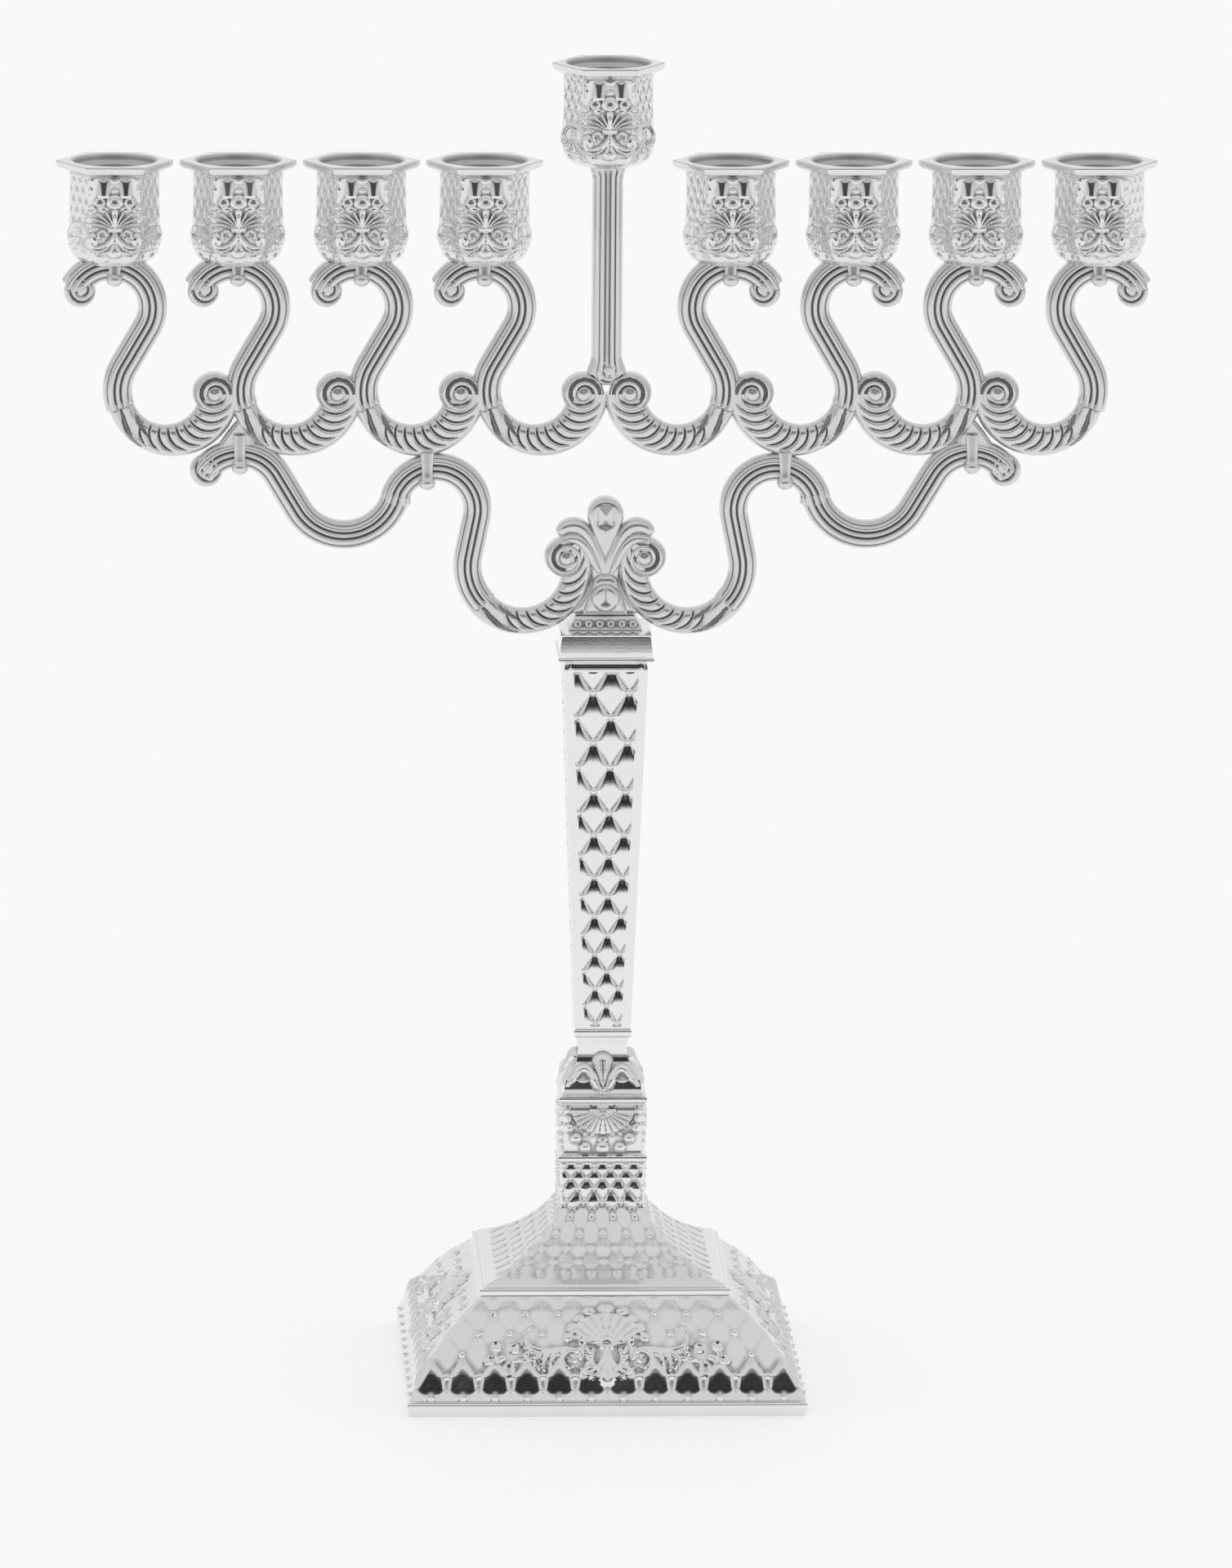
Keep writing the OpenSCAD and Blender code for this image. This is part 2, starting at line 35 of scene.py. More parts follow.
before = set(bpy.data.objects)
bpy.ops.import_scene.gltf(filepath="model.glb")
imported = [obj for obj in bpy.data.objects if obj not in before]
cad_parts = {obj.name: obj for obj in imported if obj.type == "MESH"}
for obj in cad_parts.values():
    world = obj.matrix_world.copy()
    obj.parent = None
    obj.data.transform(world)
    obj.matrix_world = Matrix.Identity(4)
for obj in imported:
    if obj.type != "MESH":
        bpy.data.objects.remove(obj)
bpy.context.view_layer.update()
MM = 0.001
QUARTERS = ((1, 0), (0, 1), (-1, 0), (0, -1))  # cosines and sines of the four quarter turns


def span(node):
    """A CAD node's lowest and highest corners, in millimetres."""
    low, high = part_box(node)
    return np.array(low) / MM, np.array(high) / MM


def heights(node):
    """How high a CAD node's foot and top lie, in millimetres."""
    low, high = span(node)
    return low[2], high[2]


def lifted(z, *points):
    """Outline points (half width, height) whose heights are counted from z."""
    return [(half, z + up) for half, up in points]


# ---------------- lines and curves

def arc(c, r, a0, a1, n, r_end=None):
    """Points on an arc, or on a spiral if it ends at another radius."""
    a = np.radians(np.linspace(a0, a1, n))
    r = np.linspace(r, r if r_end is None else r_end, n)
    return np.stack([c[0] + r * np.cos(a), c[1] + r * np.sin(a)], 1)


def smooth_line(points, n=24):
    """A curve through the points."""
    p = np.asarray(points, float)
    p = np.vstack([2 * p[0] - p[1], p, 2 * p[-1] - p[-2]])
    out = []
    for k in np.linspace(0, len(p) - 3 - 1e-6, n):
        i, t = int(k), k - int(k)
        a, b, c, d = p[i:i + 4]
        out.append(0.5 * (2 * b + (c - a) * t + (2 * a - 5 * b + 4 * c - d) * t ** 2
                          + (3 * b - a - 3 * c + d) * t ** 3))
    return np.array(out)


def bulge(p, q, s, n=30):
    """A curve from p to q that swells by s to the right of the way it runs."""
    p, q = np.array(p, float), np.array(q, float)
    d = q - p
    side = np.array([d[1], -d[0]]) / np.linalg.norm(d)
    t = np.linspace(0, 1, n)[:, None]
    return p + d * t + side * 4 * s * t * (1 - t)


def polar(c, r, deg):
    return np.array(c) + r * np.array([math.cos(math.radians(deg)), math.sin(math.radians(deg))])


def resample(points, gap):
    """Points along a polyline about gap apart, with its corners kept."""
    points = np.asarray(points, float)
    out = [points[0]]
    for a, b in zip(points[:-1], points[1:]):
        n = max(1, int(round(np.linalg.norm(b - a) / gap)))
        out += [a + (b - a) * k / n for k in range(1, n + 1)]
    return np.array(out)


def stretches(*parts):
    """Joins (points, gap) polylines, each with points its own gap apart."""
    return np.concatenate([resample(points, gap) for points, gap in parts])


def distances(line):
    """How far along the line each of its points lies."""
    return np.append(0, np.cumsum(np.linalg.norm(np.diff(line, axis=0), axis=1)))


def directions(line):
    """The way the line runs at each of its points."""
    d = np.gradient(line, axis=0)
    return d / np.maximum(np.linalg.norm(d, axis=1, keepdims=True), 1e-9)


def normals(line):
    """Directions to the left of the way the line runs."""
    t = directions(line)
    return np.stack([-t[:, 1], t[:, 0]], 1)


def around(n):
    """n angles that share out a full turn."""
    return np.linspace(0, 2 * np.pi, n, endpoint=False)


# ---------------- relief
# Each shape takes flat coordinates u (across) and v (along) and gives a height from 0 to about 1.

def ease(x, a, b):
    """0 before a, 1 after b, smooth between."""
    t = np.clip((x - a) / (b - a), 0, 1)
    return t * t * (3 - 2 * t)


def swell(x, power, root=1):
    """1 in the middle, falling to 0 at 1 to either side."""
    return np.clip(1 - x ** power, 0, 1) ** root


def groove(x, middle, width):
    """A soft notch across x, as a height from 0 to 1."""
    return np.exp(-((x - middle) / width) ** 2)


def dome(u, v, cu, cv, ru, rv=None, power=0.5):
    """Half an ellipsoid at (cu, cv)."""
    rv = ru if rv is None else rv
    return np.clip(1 - ((u - cu) / ru) ** 2 - ((v - cv) / rv) ** 2, 0, 1) ** power


def cupped(u, v, cu, cv, ru, rv=None, hollow=0.62, depth=0.8):
    """A boss with a hollow in its middle, like an open petal."""
    rv = ru if rv is None else rv
    return dome(u, v, cu, cv, ru, rv) - depth * dome(u, v, cu, cv, ru * hollow, rv * hollow, 1)


def stroke(u, v, points, widths):
    """A rounded ridge along a line of points, with its half widths from one end to the other."""
    points = np.asarray(points, float)
    at = np.linspace(0, 1, len(points))
    widths = np.interp(at, np.linspace(0, 1, len(widths)), widths)
    broadest = widths.max()
    out = np.zeros_like(u)
    for p, q, wp, wq in zip(points[:-1], points[1:], widths[:-1], widths[1:]):
        d = q - p
        t = np.clip(((u - p[0]) * d[0] + (v - p[1]) * d[1]) / max(d @ d, 1e-9), 0, 1)
        w = wp + (wq - wp) * t
        r2 = (u - p[0] - t * d[0]) ** 2 + (v - p[1] - t * d[1]) ** 2
        out = np.maximum(out, np.sqrt(np.clip(1 - r2 / w ** 2, 0, 1)) * np.sqrt(w / broadest))
    return out


def band(u, v, half, middle, thick):
    """A short bar across the middle, such as the tie that holds a spray together."""
    return swell(u / half, 6, 0.5) * swell((v - middle) / thick, 2, 0.5)


def raised(h, height, kind, u, v, rows, **options):
    """Raises h to height times each row's shape and its mirror image, where they are higher."""
    for row in rows:
        pair = np.maximum(kind(u, v, *row, **options), kind(-u, v, *row, **options))
        h = np.maximum(h, height * pair)
    return h


def sprays(h, u, v, rows, n=24):
    """Raises h along curves and their mirror images; a row is (height, half widths, points)."""
    for height, widths, points in rows:
        h = raised(h, height, stroke, u, v, [(smooth_line(points, n), widths)])
    return h


def quilt(x, y, bead_x, bead_y, facet=0.4):
    """Diamond tufting in lattice coordinates: beads lie at whole numbers and at halves of both.
    Gives the tufts and the beads apart."""
    p, q = x + y, x - y
    a, b = np.abs(2 * (p % 1) - 1), np.abs(2 * (q % 1) - 1)
    tuft = (1 - facet) * (1 - a ** 2) * (1 - b ** 2) + facet * (1 - np.maximum(a, b))
    pi, qi = np.round(p), np.round(q)
    bx, by = (pi + qi) / 2, (pi - qi) / 2
    bead = np.sqrt(np.clip(1 - ((x - bx) / bead_x) ** 2 - ((y - by) / bead_y) ** 2, 0, 1))
    return tuft, bead


def pillows(x, y, crest, fall, sides):
    """The same diamonds as flat-sided pillows: each falls from a crest that hangs below its middle
    to its upper and lower corners, and steeply to its sides."""
    p, q = (x + y) % 1 - 0.5, (x - y) % 1 - 0.5
    across = np.abs(p + q) / np.maximum(1 - np.abs(p - q), 0.02)
    up = np.abs(p - q + crest * (1 - across ** 2))
    return swell(up, fall) * swell(across, sides)


def shell_fan(u, v, radius, spacing, spread):
    """Ribs that fan out upwards from the origin; spacing and spread are in degrees."""
    r = np.hypot(u, v)
    a = np.degrees(np.arctan2(v, u)) - 90
    k = a / spacing
    rib = np.sqrt(np.clip(1 - (1.9 * (k - np.round(k))) ** 2, 0, 1))
    inside = ease(r, 0.5, 2.5) * (1 - ease(r, radius - 0.9, radius)) * (np.abs(a) < spread)
    return (0.25 + 0.65 * rib) * inside


# ---------------- meshes

class Shape:
    """Collects closed grids of points into one mesh."""

    def __init__(self, *grids, **options):
        self.points, self.cavity, self.satin, self.quads, self.tris, self.count = [], [], [], [], [], 0
        for grid in grids:
            self.grid(grid, **options)

    def grid(self, P, blur=3, full=0.16, satin=None, weight=1):
        """Adds a grid of rows x columns x 3 millimetres that closes on itself along its columns and
        has each end closed by a fan. A point that lies full millimetres below its surroundings
        counts as a hollow, which the material darkens as painted shade, and weight makes that painted
        shade paler. satin is 1 on unpolished rows, which get a lighter painted shade instead."""
        rows, cols = P.shape[:2]
        index = np.arange(rows * cols).reshape(rows, cols)
        following = np.roll(index, -1, 1)
        quads = np.stack([index[:-1], following[:-1], following[1:], index[1:]], -1).reshape(-1, 4)
        first, last = rows * cols, rows * cols + 1
        tris = np.concatenate([
            np.stack([following[0], index[0], np.full(cols, first)], -1),
            np.stack([index[-1], following[-1], np.full(cols, last)], -1)])
        co = np.vstack([P.reshape(-1, 3), P[0].mean(0), P[-1].mean(0)])
        sign = 1
        if self.volume(co, quads, tris) < 0:
            quads, tris, sign = quads[:, ::-1], tris[:, ::-1], -1
        # the hollow measure, stored per point, is where the material paints shade into the hollows; rough
        # marks the satin rows, which get their own painted shade
        hollow = np.clip(self.depth(P, blur, sign) / full, -1, 1) * weight
        rough = np.zeros(P.shape[:2]) if satin is None else np.broadcast_to(satin, P.shape[:2])
        self.points.append(co)
        self.cavity.append(np.append((hollow * (1 - rough)).ravel(), [0, 0]))
        self.satin.append(np.append(rough.ravel(), [rough[0, 0], rough[-1, 0]]))
        self.quads.append(quads + self.count)
        self.tris.append(tris + self.count)
        self.count += len(co)

    @staticmethod
    def volume(co, quads, tris):
        """Six times the volume inside the faces, below 0 if they face inwards."""
        corners = (co - co.mean(0))[np.concatenate([quads[:, :3], quads[:, [0, 2, 3]], tris])]
        return (corners[:, 0] * np.cross(corners[:, 1], corners[:, 2])).sum()

    @staticmethod
    def depth(P, reach, sign):
        """How far each point lies below the mean of its neighbours within reach."""
        down = np.gradient(P, axis=0)
        across = (np.roll(P, -1, 1) - np.roll(P, 1, 1)) / 2
        normal = np.cross(across, down)
        normal /= np.maximum(np.linalg.norm(normal, axis=2, keepdims=True), 1e-9)
        window = 2 * reach + 1
        mean = P
        for ends in ("edge", "wrap", "edge", "wrap"):  # rows and columns by turns
            padded = np.pad(mean, ((reach, reach), (0, 0), (0, 0)), mode=ends)
            total = np.concatenate([np.zeros_like(padded[:1]), np.cumsum(padded, 0)])
            mean = ((total[window:] - total[:-window]) / window).swapaxes(0, 1)
        return ((mean - P) * normal).sum(2) * sign

    def make(self, name, material, nodes, slot, shift=(0, 0, 0), mirror=False):
        """Makes the piece that stands for the given CAD nodes."""
        sharp_angle = math.radians(50)
        co = np.concatenate(self.points) * ([-1, 1, 1] if mirror else [1, 1, 1]) + shift
        quads, tris = np.concatenate(self.quads), np.concatenate(self.tris)
        if mirror:
            quads, tris = quads[:, ::-1], tris[:, ::-1]
        me = bpy.data.meshes.new(name)
        me.vertices.add(len(co))
        me.vertices.foreach_set("co", (co * MM).astype(np.float32).ravel())
        corners = np.concatenate([quads.ravel(), tris.ravel()]).astype(np.int32)
        sizes = np.concatenate([np.full(len(quads), 4), np.full(len(tris), 3)])
        me.loops.add(len(corners))
        me.loops.foreach_set("vertex_index", corners)
        me.polygons.add(len(sizes))
        starts = np.concatenate([[0], np.cumsum(sizes)[:-1]]).astype(np.int32)
        me.polygons.foreach_set("loop_start", starts)
        me.update(calc_edges=True)
        me.validate()
        me.shade_smooth()
        me.set_sharp_from_angle(angle=sharp_angle)
        for label, values in (("cavity", self.cavity), ("satin", self.satin)):
            layer = me.attributes.new(label, "FLOAT", "POINT")
            layer.data.foreach_set("value", np.concatenate(values).astype(np.float32))
        piece = bpy.data.objects.new(name, me)
        bpy.context.scene.collection.objects.link(piece)
        me.materials.append(material)
        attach(piece, "root")
        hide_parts(*nodes)
        return piece


# ---------------- materials

def fill(nt, node, sockets):
    """Sets a node's inputs; a value is a number, a colour or another node's output."""
    for key, value in sockets.items():
        socket = node.inputs[key]
        if isinstance(value, bpy.types.NodeSocket):
            nt.links.new(value, socket)
        elif socket.type == "RGBA":
            socket.default_value = (value, value, value, 1)
        else:
            socket.default_value = value


def add(nt, kind, output, sockets=None, **settings):
    """Adds a node and gives the output of that name or number."""
    node = nt.nodes.new(kind)
    for key, value in settings.items():
        setattr(node, key, value)
    fill(nt, node, sockets or {})
    return node.outputs[output]


def new_material(name):
    m = bpy.data.materials.new(name)
    m.use_nodes = True
    return m, m.node_tree, m.node_tree.nodes["Principled BSDF"]


def object_space(nt):
    """The coordinates that a material's patterns follow."""
    return add(nt, "ShaderNodeTexCoord", "Object")


def noise(nt, where, scale, detail=3):
    sockets = {"Vector": where, "Scale": scale, "Detail": detail, "Roughness": 0.55}
    return add(nt, "ShaderNodeTexNoise", "Fac", sockets)


def ramp(nt, source, *stops):
    """A colour ramp through (position, grey or colour) stops."""
    node = nt.nodes.new("ShaderNodeValToRGB")
    elements = node.color_ramp.elements
    while len(elements) < len(stops):
        elements.new(0.5)
    for element, (position, value) in zip(elements, stops):
        element.position = position
        element.color = (*value, 1) if isinstance(value, tuple) else (value, value, value, 1)
    nt.links.new(source, node.inputs[0])
    return node.outputs[0]


def maths(nt, operation, *values):
    return add(nt, "ShaderNodeMath", 0, dict(enumerate(values)), operation=operation)


def blend_of(nt, factor, a, b):
    """Mixes two colours; each is a socket or a grey."""
    return add(nt, "ShaderNodeMix", 2, {"Factor": factor, 6: a, 7: b}, data_type="RGBA")


def bump(nt, height, strength, distance):
    sockets = {"Strength": strength, "Distance": distance, "Height": height}
    return add(nt, "ShaderNodeBump", "Normal", sockets)


def silver(name, patina_and_shade_tone, rough, tone=0.86):
    """Silver plate on a cast body: bright on the open metal, dull grey in the hollows, a painted shade
    that stands partly for antique patina, a lighter painted shade on satin rows, with cast grain,
    faint wipe marks and slightly cloudy patches."""
    m, nt, bsdf = new_material(name)
    where = object_space(nt)
    grain, cloud, spots = noise(nt, where, 2400), noise(nt, where, 60, 4), noise(nt, where, 500, 2)
    skin = bump(nt, maths(nt, "MULTIPLY_ADD", cloud, 3, grain), 0.16, 0.00006)
    cavity = add(nt, "ShaderNodeAttribute", "Fac", attribute_name="cavity")
    satin = add(nt, "ShaderNodeAttribute", "Fac", attribute_name="satin")
    # painted shade: the base colour goes toward the hollow tone in the hollows, standing partly for antique
    # patina
    hollow = ramp(nt, maths(nt, "MULTIPLY_ADD", spots, 0.16, cavity), (0.16, 0), (0.85, 1))
    darker = (tone - 0.03, tone - 0.03, tone - 0.027)
    open_metal = ramp(nt, cloud, (0.3, darker), (0.7, tone))
    # painted shade also on satin rows, a fifth of the way to the hollow tone; their higher roughness below is
    # the real satin finish
    shade = maths(nt, "MAXIMUM", hollow, maths(nt, "MULTIPLY", satin, 0.2))
    polish = ramp(nt, cloud, (0.3, rough), (0.75, rough + 0.07))
    dull = maths(nt, "MAXIMUM", maths(nt, "MULTIPLY", hollow, 0.42), maths(nt, "MULTIPLY", satin, 0.5))
    fill(nt, bsdf, {"Base Color": blend_of(nt, shade, open_metal, patina_and_shade_tone),
                    "Roughness": maths(nt, "MAXIMUM", polish, dull),
                    "Normal": skin,
                    "Metallic": 1})
    return m


def steel(name):
    """Plain steel of the hidden rod and screws, with turning marks and dull patches."""
    m, nt, bsdf = new_material(name)
    where = object_space(nt)
    cloud = noise(nt, where, 300, 4)
    turning = {"Vector": where, "Scale": 900, "Distortion": 0.6}
    rings = add(nt, "ShaderNodeTexWave", "Fac", turning, bands_direction="Z")
    fill(nt, bsdf, {"Base Color": ramp(nt, cloud, (0.3, (0.42, 0.43, 0.44)), (0.7, 0.6)),
                    "Roughness": ramp(nt, cloud, (0.3, 0.3), (0.7, 0.45)),
                    "Normal": bump(nt, rings, 0.2, 0.00003),
                    "Metallic": 1})
    return m


def felt(name):
    """Black felt: short matted fibres and a soft sheen."""
    m, nt, bsdf = new_material(name)
    where = object_space(nt)
    fibres, patches = noise(nt, where, 3500, 5), noise(nt, where, 140, 3)
    fill(nt, bsdf, {"Base Color": ramp(nt, patches, (0.3, (0.012, 0.012, 0.014)), (0.7, (0.03, 0.03, 0.034))),
                    "Roughness": 0.95,
                    "Normal": bump(nt, maths(nt, "MULTIPLY_ADD", patches, 1.5, fibres), 0.7, 0.0002),
                    "Sheen Weight": 0.35,
                    "Sheen Roughness": 0.5})
    return m


# the second number of each is the grey of the painted shade in the hollows, partly antique patina
SILVER = silver("silver_plate", 0.5, rough=0.07)
ARM_SILVER = silver("silver_plate_arms", 0.3, tone=0.74, rough=0.22)
CUP_SILVER = silver("cup_silver", 0.2, tone=0.82, rough=0.13)
STEEL = steel("steel_fixings")
FELT = felt("base_felt")


# ---------------- arms: grids of points

def fluted_section(n, width, thick, inner, outer):
    """A rounded bar with four grooves along its front and its back: a pair at inner and a pair at
    outer, as parts of its half width."""
    t = around(n)
    w = np.cos(t)
    a = np.abs(w)
    envelope = swell(a, 2.8, 0.42)
    crown = 0.2 * ((a - (inner + outer) / 2) / 0.26) ** 2 * (a > inner) * (a < outer)
    crown += 0.16 * (a / inner) ** 2 * (a <= inner)
    cut = -0.5 * groove(a, inner, 0.10) - 0.38 * groove(a, outer, 0.07) - np.minimum(crown, 0.2)
    depth = np.maximum(envelope * thick / 2 + cut * np.clip(envelope * 1.5, 0, 1), 0.25)
    return w * width / 2, -np.sign(np.sin(t) + 1e-12) * np.where(np.abs(np.sin(t)) < 1e-9, 0, depth)


def arc_run(c, r, a0, a1):
    return arc(c, r, a0, a1, max(4, int(abs(math.radians(a1 - a0)) * r / RUN_GAP)))


def straight_run(p, q):
    """Points between p and q, with both of them left out."""
    p, q = np.array(p), np.array(q)
    return p + (q - p) * np.linspace(0, 1, max(3, int(np.linalg.norm(q - p) / RUN_GAP)))[1:-1, None]


def joined(*runs):
    """One line through the runs, without points that all but touch."""
    pts = np.concatenate(runs)
    return pts[np.append(True, np.linalg.norm(np.diff(pts, axis=0), axis=1) > RUN_GAP * 0.3)]


def lip(side):
    """How far the flutes run on past the start: the middle ones in a tongue, the borders less."""
    return 1.5 * (1 - np.abs(side) ** 2) - 0.5 * groove(np.abs(side), 0.72, 0.12)


def lip_flare(s, side):
    """The lip's corners stand out, most of all on the inside of the bend."""
    corner = np.where(side < 0, 0.24, 0.02)
    return 1 + corner * (1 - ease(s, -0.6, 2.6))


def sweep(line, section, flare=lip_flare, round_by=0.5):
    """A section carried along a line, with a lip at its start and rounded ends. flare(distance from
    the start, offset across) widens it."""
    across, depth = section
    nor = normals(line)
    s = distances(line)
    reach, gap = 6, 0.42
    t0, t1 = line[0] - line[1], line[-1] - line[-2]
    pts = np.vstack([line[0] + t0 / np.linalg.norm(t0) * reach, line,
                     line[-1] + t1 / np.linalg.norm(t1) * reach])
    nor = np.vstack([nor[0], nor, nor[-1]])
    stations = np.concatenate([[-reach], s, [s[-1] + reach]])
    side = across / np.abs(across).max()
    first, last = -lip(side), np.full_like(side, s[-1])
    t = np.linspace(0, 1, max(4, int(s[-1] / gap)))[:, None]
    bends = np.radians([84, 66, 46, 24])
    S = np.vstack([[first - round_by * math.sin(a) for a in bends], first + (last - first) * t,
                   [last + round_by * math.sin(a) for a in bends[::-1]]])
    D = np.concatenate([np.cos(bends), np.ones(len(t)), np.cos(bends[::-1])])[:, None]
    wide = across * flare(S, side) * (0.75 + 0.25 * D)
    x, z = (np.interp(S, stations, pts[:, i]) + np.interp(S, stations, nor[:, i]) * wide for i in (0, 1))
    return np.stack([x, depth * D, z], -1)


def disc_grid(c, outline, thick, face=None, *, cols, rows):
    """A flat boss at c. outline is its radius, or a function of the angle, and face(x, z) is the
    height of its front and back above half its thickness."""
    a = around(cols)
    f = np.append(0.01, np.linspace(0.06, 1, rows))
    R = outline(a) if callable(outline) else np.full_like(a, outline)
    x, z = f[:, None] * R * np.cos(a), f[:, None] * R * np.sin(a)
    edge = swell(f, 9)[:, None] ** 0.5
    h = np.maximum((thick / 2 + (face(x, z) if face else 0 * x)) * (0.3 + 0.7 * edge), 0.2)
    front = np.stack([c[0] + x, -h, c[1] + z], -1)
    return np.concatenate([front, (front * [1, -1, 1])[::-1]])


def polygon_radius(*corners):
    """The distance from the middle of a polygon, which holds the origin, to its edge at an angle."""
    corners = np.array(corners, float)

    def radius(a):
        d = np.stack([np.cos(a), np.sin(a)], -1)
        best = np.full_like(a, 1e9)
        for p, q in zip(corners, np.roll(corners, -1, 0)):
            e = q - p
            denominator = d[:, 0] * e[1] - d[:, 1] * e[0]
            denominator = np.where(np.abs(denominator) < 1e-9, 1e-9, denominator)
            along = (p[0] * e[1] - p[1] * e[0]) / denominator
            where = (p[0] * d[:, 1] - p[1] * d[:, 0]) / denominator
            hit = (along > 0) & (where >= -0.01) & (where <= 1.01)
            best = np.where(hit, np.minimum(best, along), best)
        return best
    return radius


def ball_grid(c, radii):
    v = np.radians(np.linspace(2, 178, 16)[:, None])
    a = around(24)[None]
    P = np.stack([np.sin(v) * np.cos(a), np.sin(v) * np.sin(a), np.cos(v) + 0 * a], -1)
    return P * np.array(radii) + np.array(c)


def curl_grid(c, r, thick, face_r, cols=72):
    """The round end of a hook: two grooves about a button."""
    def face(x, z):
        low = np.hypot((x - 0.12 * face_r) * 1.1, z - 0.22 * face_r)
        grooves = 0.62 * groove(low, 0.8 * face_r, 0.34) + 0.6 * groove(low, 0.42 * face_r, 0.3)
        return 0.35 * (1 - (np.hypot(x, z) / face_r) ** 2) - grooves
    return disc_grid(c, r, thick, face, cols=cols, rows=24)


def volute_grid(c):
    """A scroll: a groove that winds in from the leaf to a button."""
    start, outermost, step = -75, 4.75, 1.784
    winding = arc((0, 0), outermost, start, 500, 64, r_end=1.9)

    def outline(a):
        return VOLUTE_R * (1 + 0.07 * groove(a, 3, 0.7))

    def face(x, z):
        h = -0.8 * stroke(x, z, winding, (0.3, 0.5, 0.52, 0.46, 0.4, 0.15))
        r, turn = np.hypot(x, z), (np.arctan2(z, x) - math.radians(start)) / (2 * np.pi)
        ridge = -0.2 * np.cos(2 * np.pi * ((r - outermost) / step + turn)) * ease(r, 1.3, 2.1)
        return h + ridge + 0.5 * np.clip(1 - r / 1.7, 0, 1)
    return disc_grid(c, outline, ARM_T + 0.5, face, cols=104, rows=38)


def leaf_grid(outer_c, outer_r, inner_c, inner_r, start, end):
    """A crescent between two circles: a plain lobe with an S-shaped groove at its broad end, then
    feathered ridges that sweep from its inner edge to a plain border along its outer one. Its
    angles run from start to end, in degrees."""
    n = int(math.radians(end - start) * outer_r / 0.34)
    t = np.linspace(0, 1, 40)[None]
    t = 0.6 * t + 0.4 * t * t * (3 - 2 * t)
    begin = start + 3 * (2 * t - 1) ** 2
    progress = np.linspace(0, 1, n)[:, None] ** 1.05
    ang = begin + (end - begin) * progress
    dx, dz = np.cos(np.radians(ang)), np.sin(np.radians(ang))
    off = np.subtract(inner_c, outer_c)
    dot = dx * off[0] + dz * off[1]
    r_in = dot + np.sqrt(np.maximum(dot ** 2 - off @ off + inner_r ** 2, 0.01))
    r = r_in + (outer_r - r_in) * t
    x, z = r * dx, r * dz
    # feathers: grooves that leave the inner edge square and meet the border on a slant
    border = 0.86 - 0.16 * groove(ang, start, 40)
    lean = 1 - np.sqrt(np.clip(1 - (t / (border + 0.02)) ** 2, 0, 1))
    first, step, reach, more = start + 29, 12.4, 27, 0.15
    origin = (ang - lean * (reach - first * more)) / (1 + more * lean)
    phase = (origin - first) / step
    f = phase % 1
    depth = 1 - 0.25 * ease(ang, start + 60, end)
    cut = np.maximum(np.exp(-f / 0.2), 0.85 * np.exp(-(1 - f) / 0.1))
    swell = 0.3 * np.sin(np.pi * f ** 0.7)
    inside = (1 - ease(t, border - 0.12, border)) * ease(phase, -0.35, -0.05) * (1 - ease(ang, end - 9, end))
    h = (-depth * cut + swell) * inside
    # the lobe at the broad end: a long and a short S-shaped groove, drawn for a leaf of radius 17.8
    turn = math.radians(start - 196)
    for deep, widths, points in (
            (-1, (0.3, 0.75, 0.2), [(-14.2, -4.2), (-13.4, -6.2), (-12.8, -8.6), (-11.4, -11.9),
                                      (-9.9, -13.5), (-8.2, -14.8)]),
            (-0.9, (0.3, 0.7, 0.2), [(-10.9, -3.6), (-9.9, -6), (-9.1, -8.2), (-7.7, -10.6), (-6.6, -12.2)])):
        p = np.array(points) * (outer_r / 17.8)
        p = np.stack([p[:, 0] * math.cos(turn) - p[:, 1] * math.sin(turn),
                      p[:, 0] * math.sin(turn) + p[:, 1] * math.cos(turn)], 1)
        h = np.minimum(h, deep * stroke(x, z, smooth_line(p), widths))
    rim = 0.3 * groove(outer_r - r, 1, 0.9)
    body = np.clip(1 - np.abs(2 * t - 1) ** 4.5, 0, 1) ** 0.45
    root = 0.6 + 0.4 * np.sqrt(np.clip(1 - (1 - (ang - begin) / 3.2).clip(0, 1) ** 2, 0, 1))
    h = np.maximum(((ARM_T - 0.3) / 2 + h + rim) * body * root, 0.3)
    front = np.stack([outer_c[0] + x, -h, outer_c[1] + z], -1)
    return np.concatenate([front, (front * [1, -1, 1])[:, ::-1]], 1)


def hook_grid(width, arch, arch_r, begin, bend, bend_r, finish):
    """A fluted bar along an arch, a straight stretch and a reverse bend, from the arch's outer end."""
    d = np.subtract(bend, arch)
    turn = math.degrees(math.atan2(d[1], d[0])) + math.degrees(math.acos((arch_r + bend_r) / np.hypot(*d)))
    line = joined(arc_run(arch, arch_r, begin, turn),
                  straight_run(polar(arch, arch_r, turn), polar(bend, bend_r, 180 + turn)),
                  arc_run(bend, bend_r, 180 + turn, finish))
    return sweep(line, fluted_section(148, width, ARM_T, 0.2, 0.72))


ARM_T = np.subtract(*span("candle_arm_1")[::-1])[1]
ARM_W = 7.8
LOWER_W = 7.6
CURL_R = 4.4
VOLUTE_R = 5.5
RUN_GAP = 0.4


def candle_arm(seat):
    """The arm of an outer cup: hook, curl, leaf and volute. x is measured from the cup's axis."""
    arch, bend, leaf = (-0.9, seat - 12), (13.75, seat - 34.5), (15.5, seat - 34.5)
    hook = hook_grid(ARM_W, arch, 11, 150, bend, 13, 200)
    hook[..., 2] = np.minimum(hook[..., 2], seat)
    return Shape(hook, curl_grid((-9.2, seat - 7.9), CURL_R - 0.2, ARM_T - 0.9, CURL_R),
                 leaf_grid(leaf, 17.8, (leaf[0] - 2, leaf[1] - 0.4), 9, 196, 357),
                 volute_grid((26.5, seat - 35.2)))


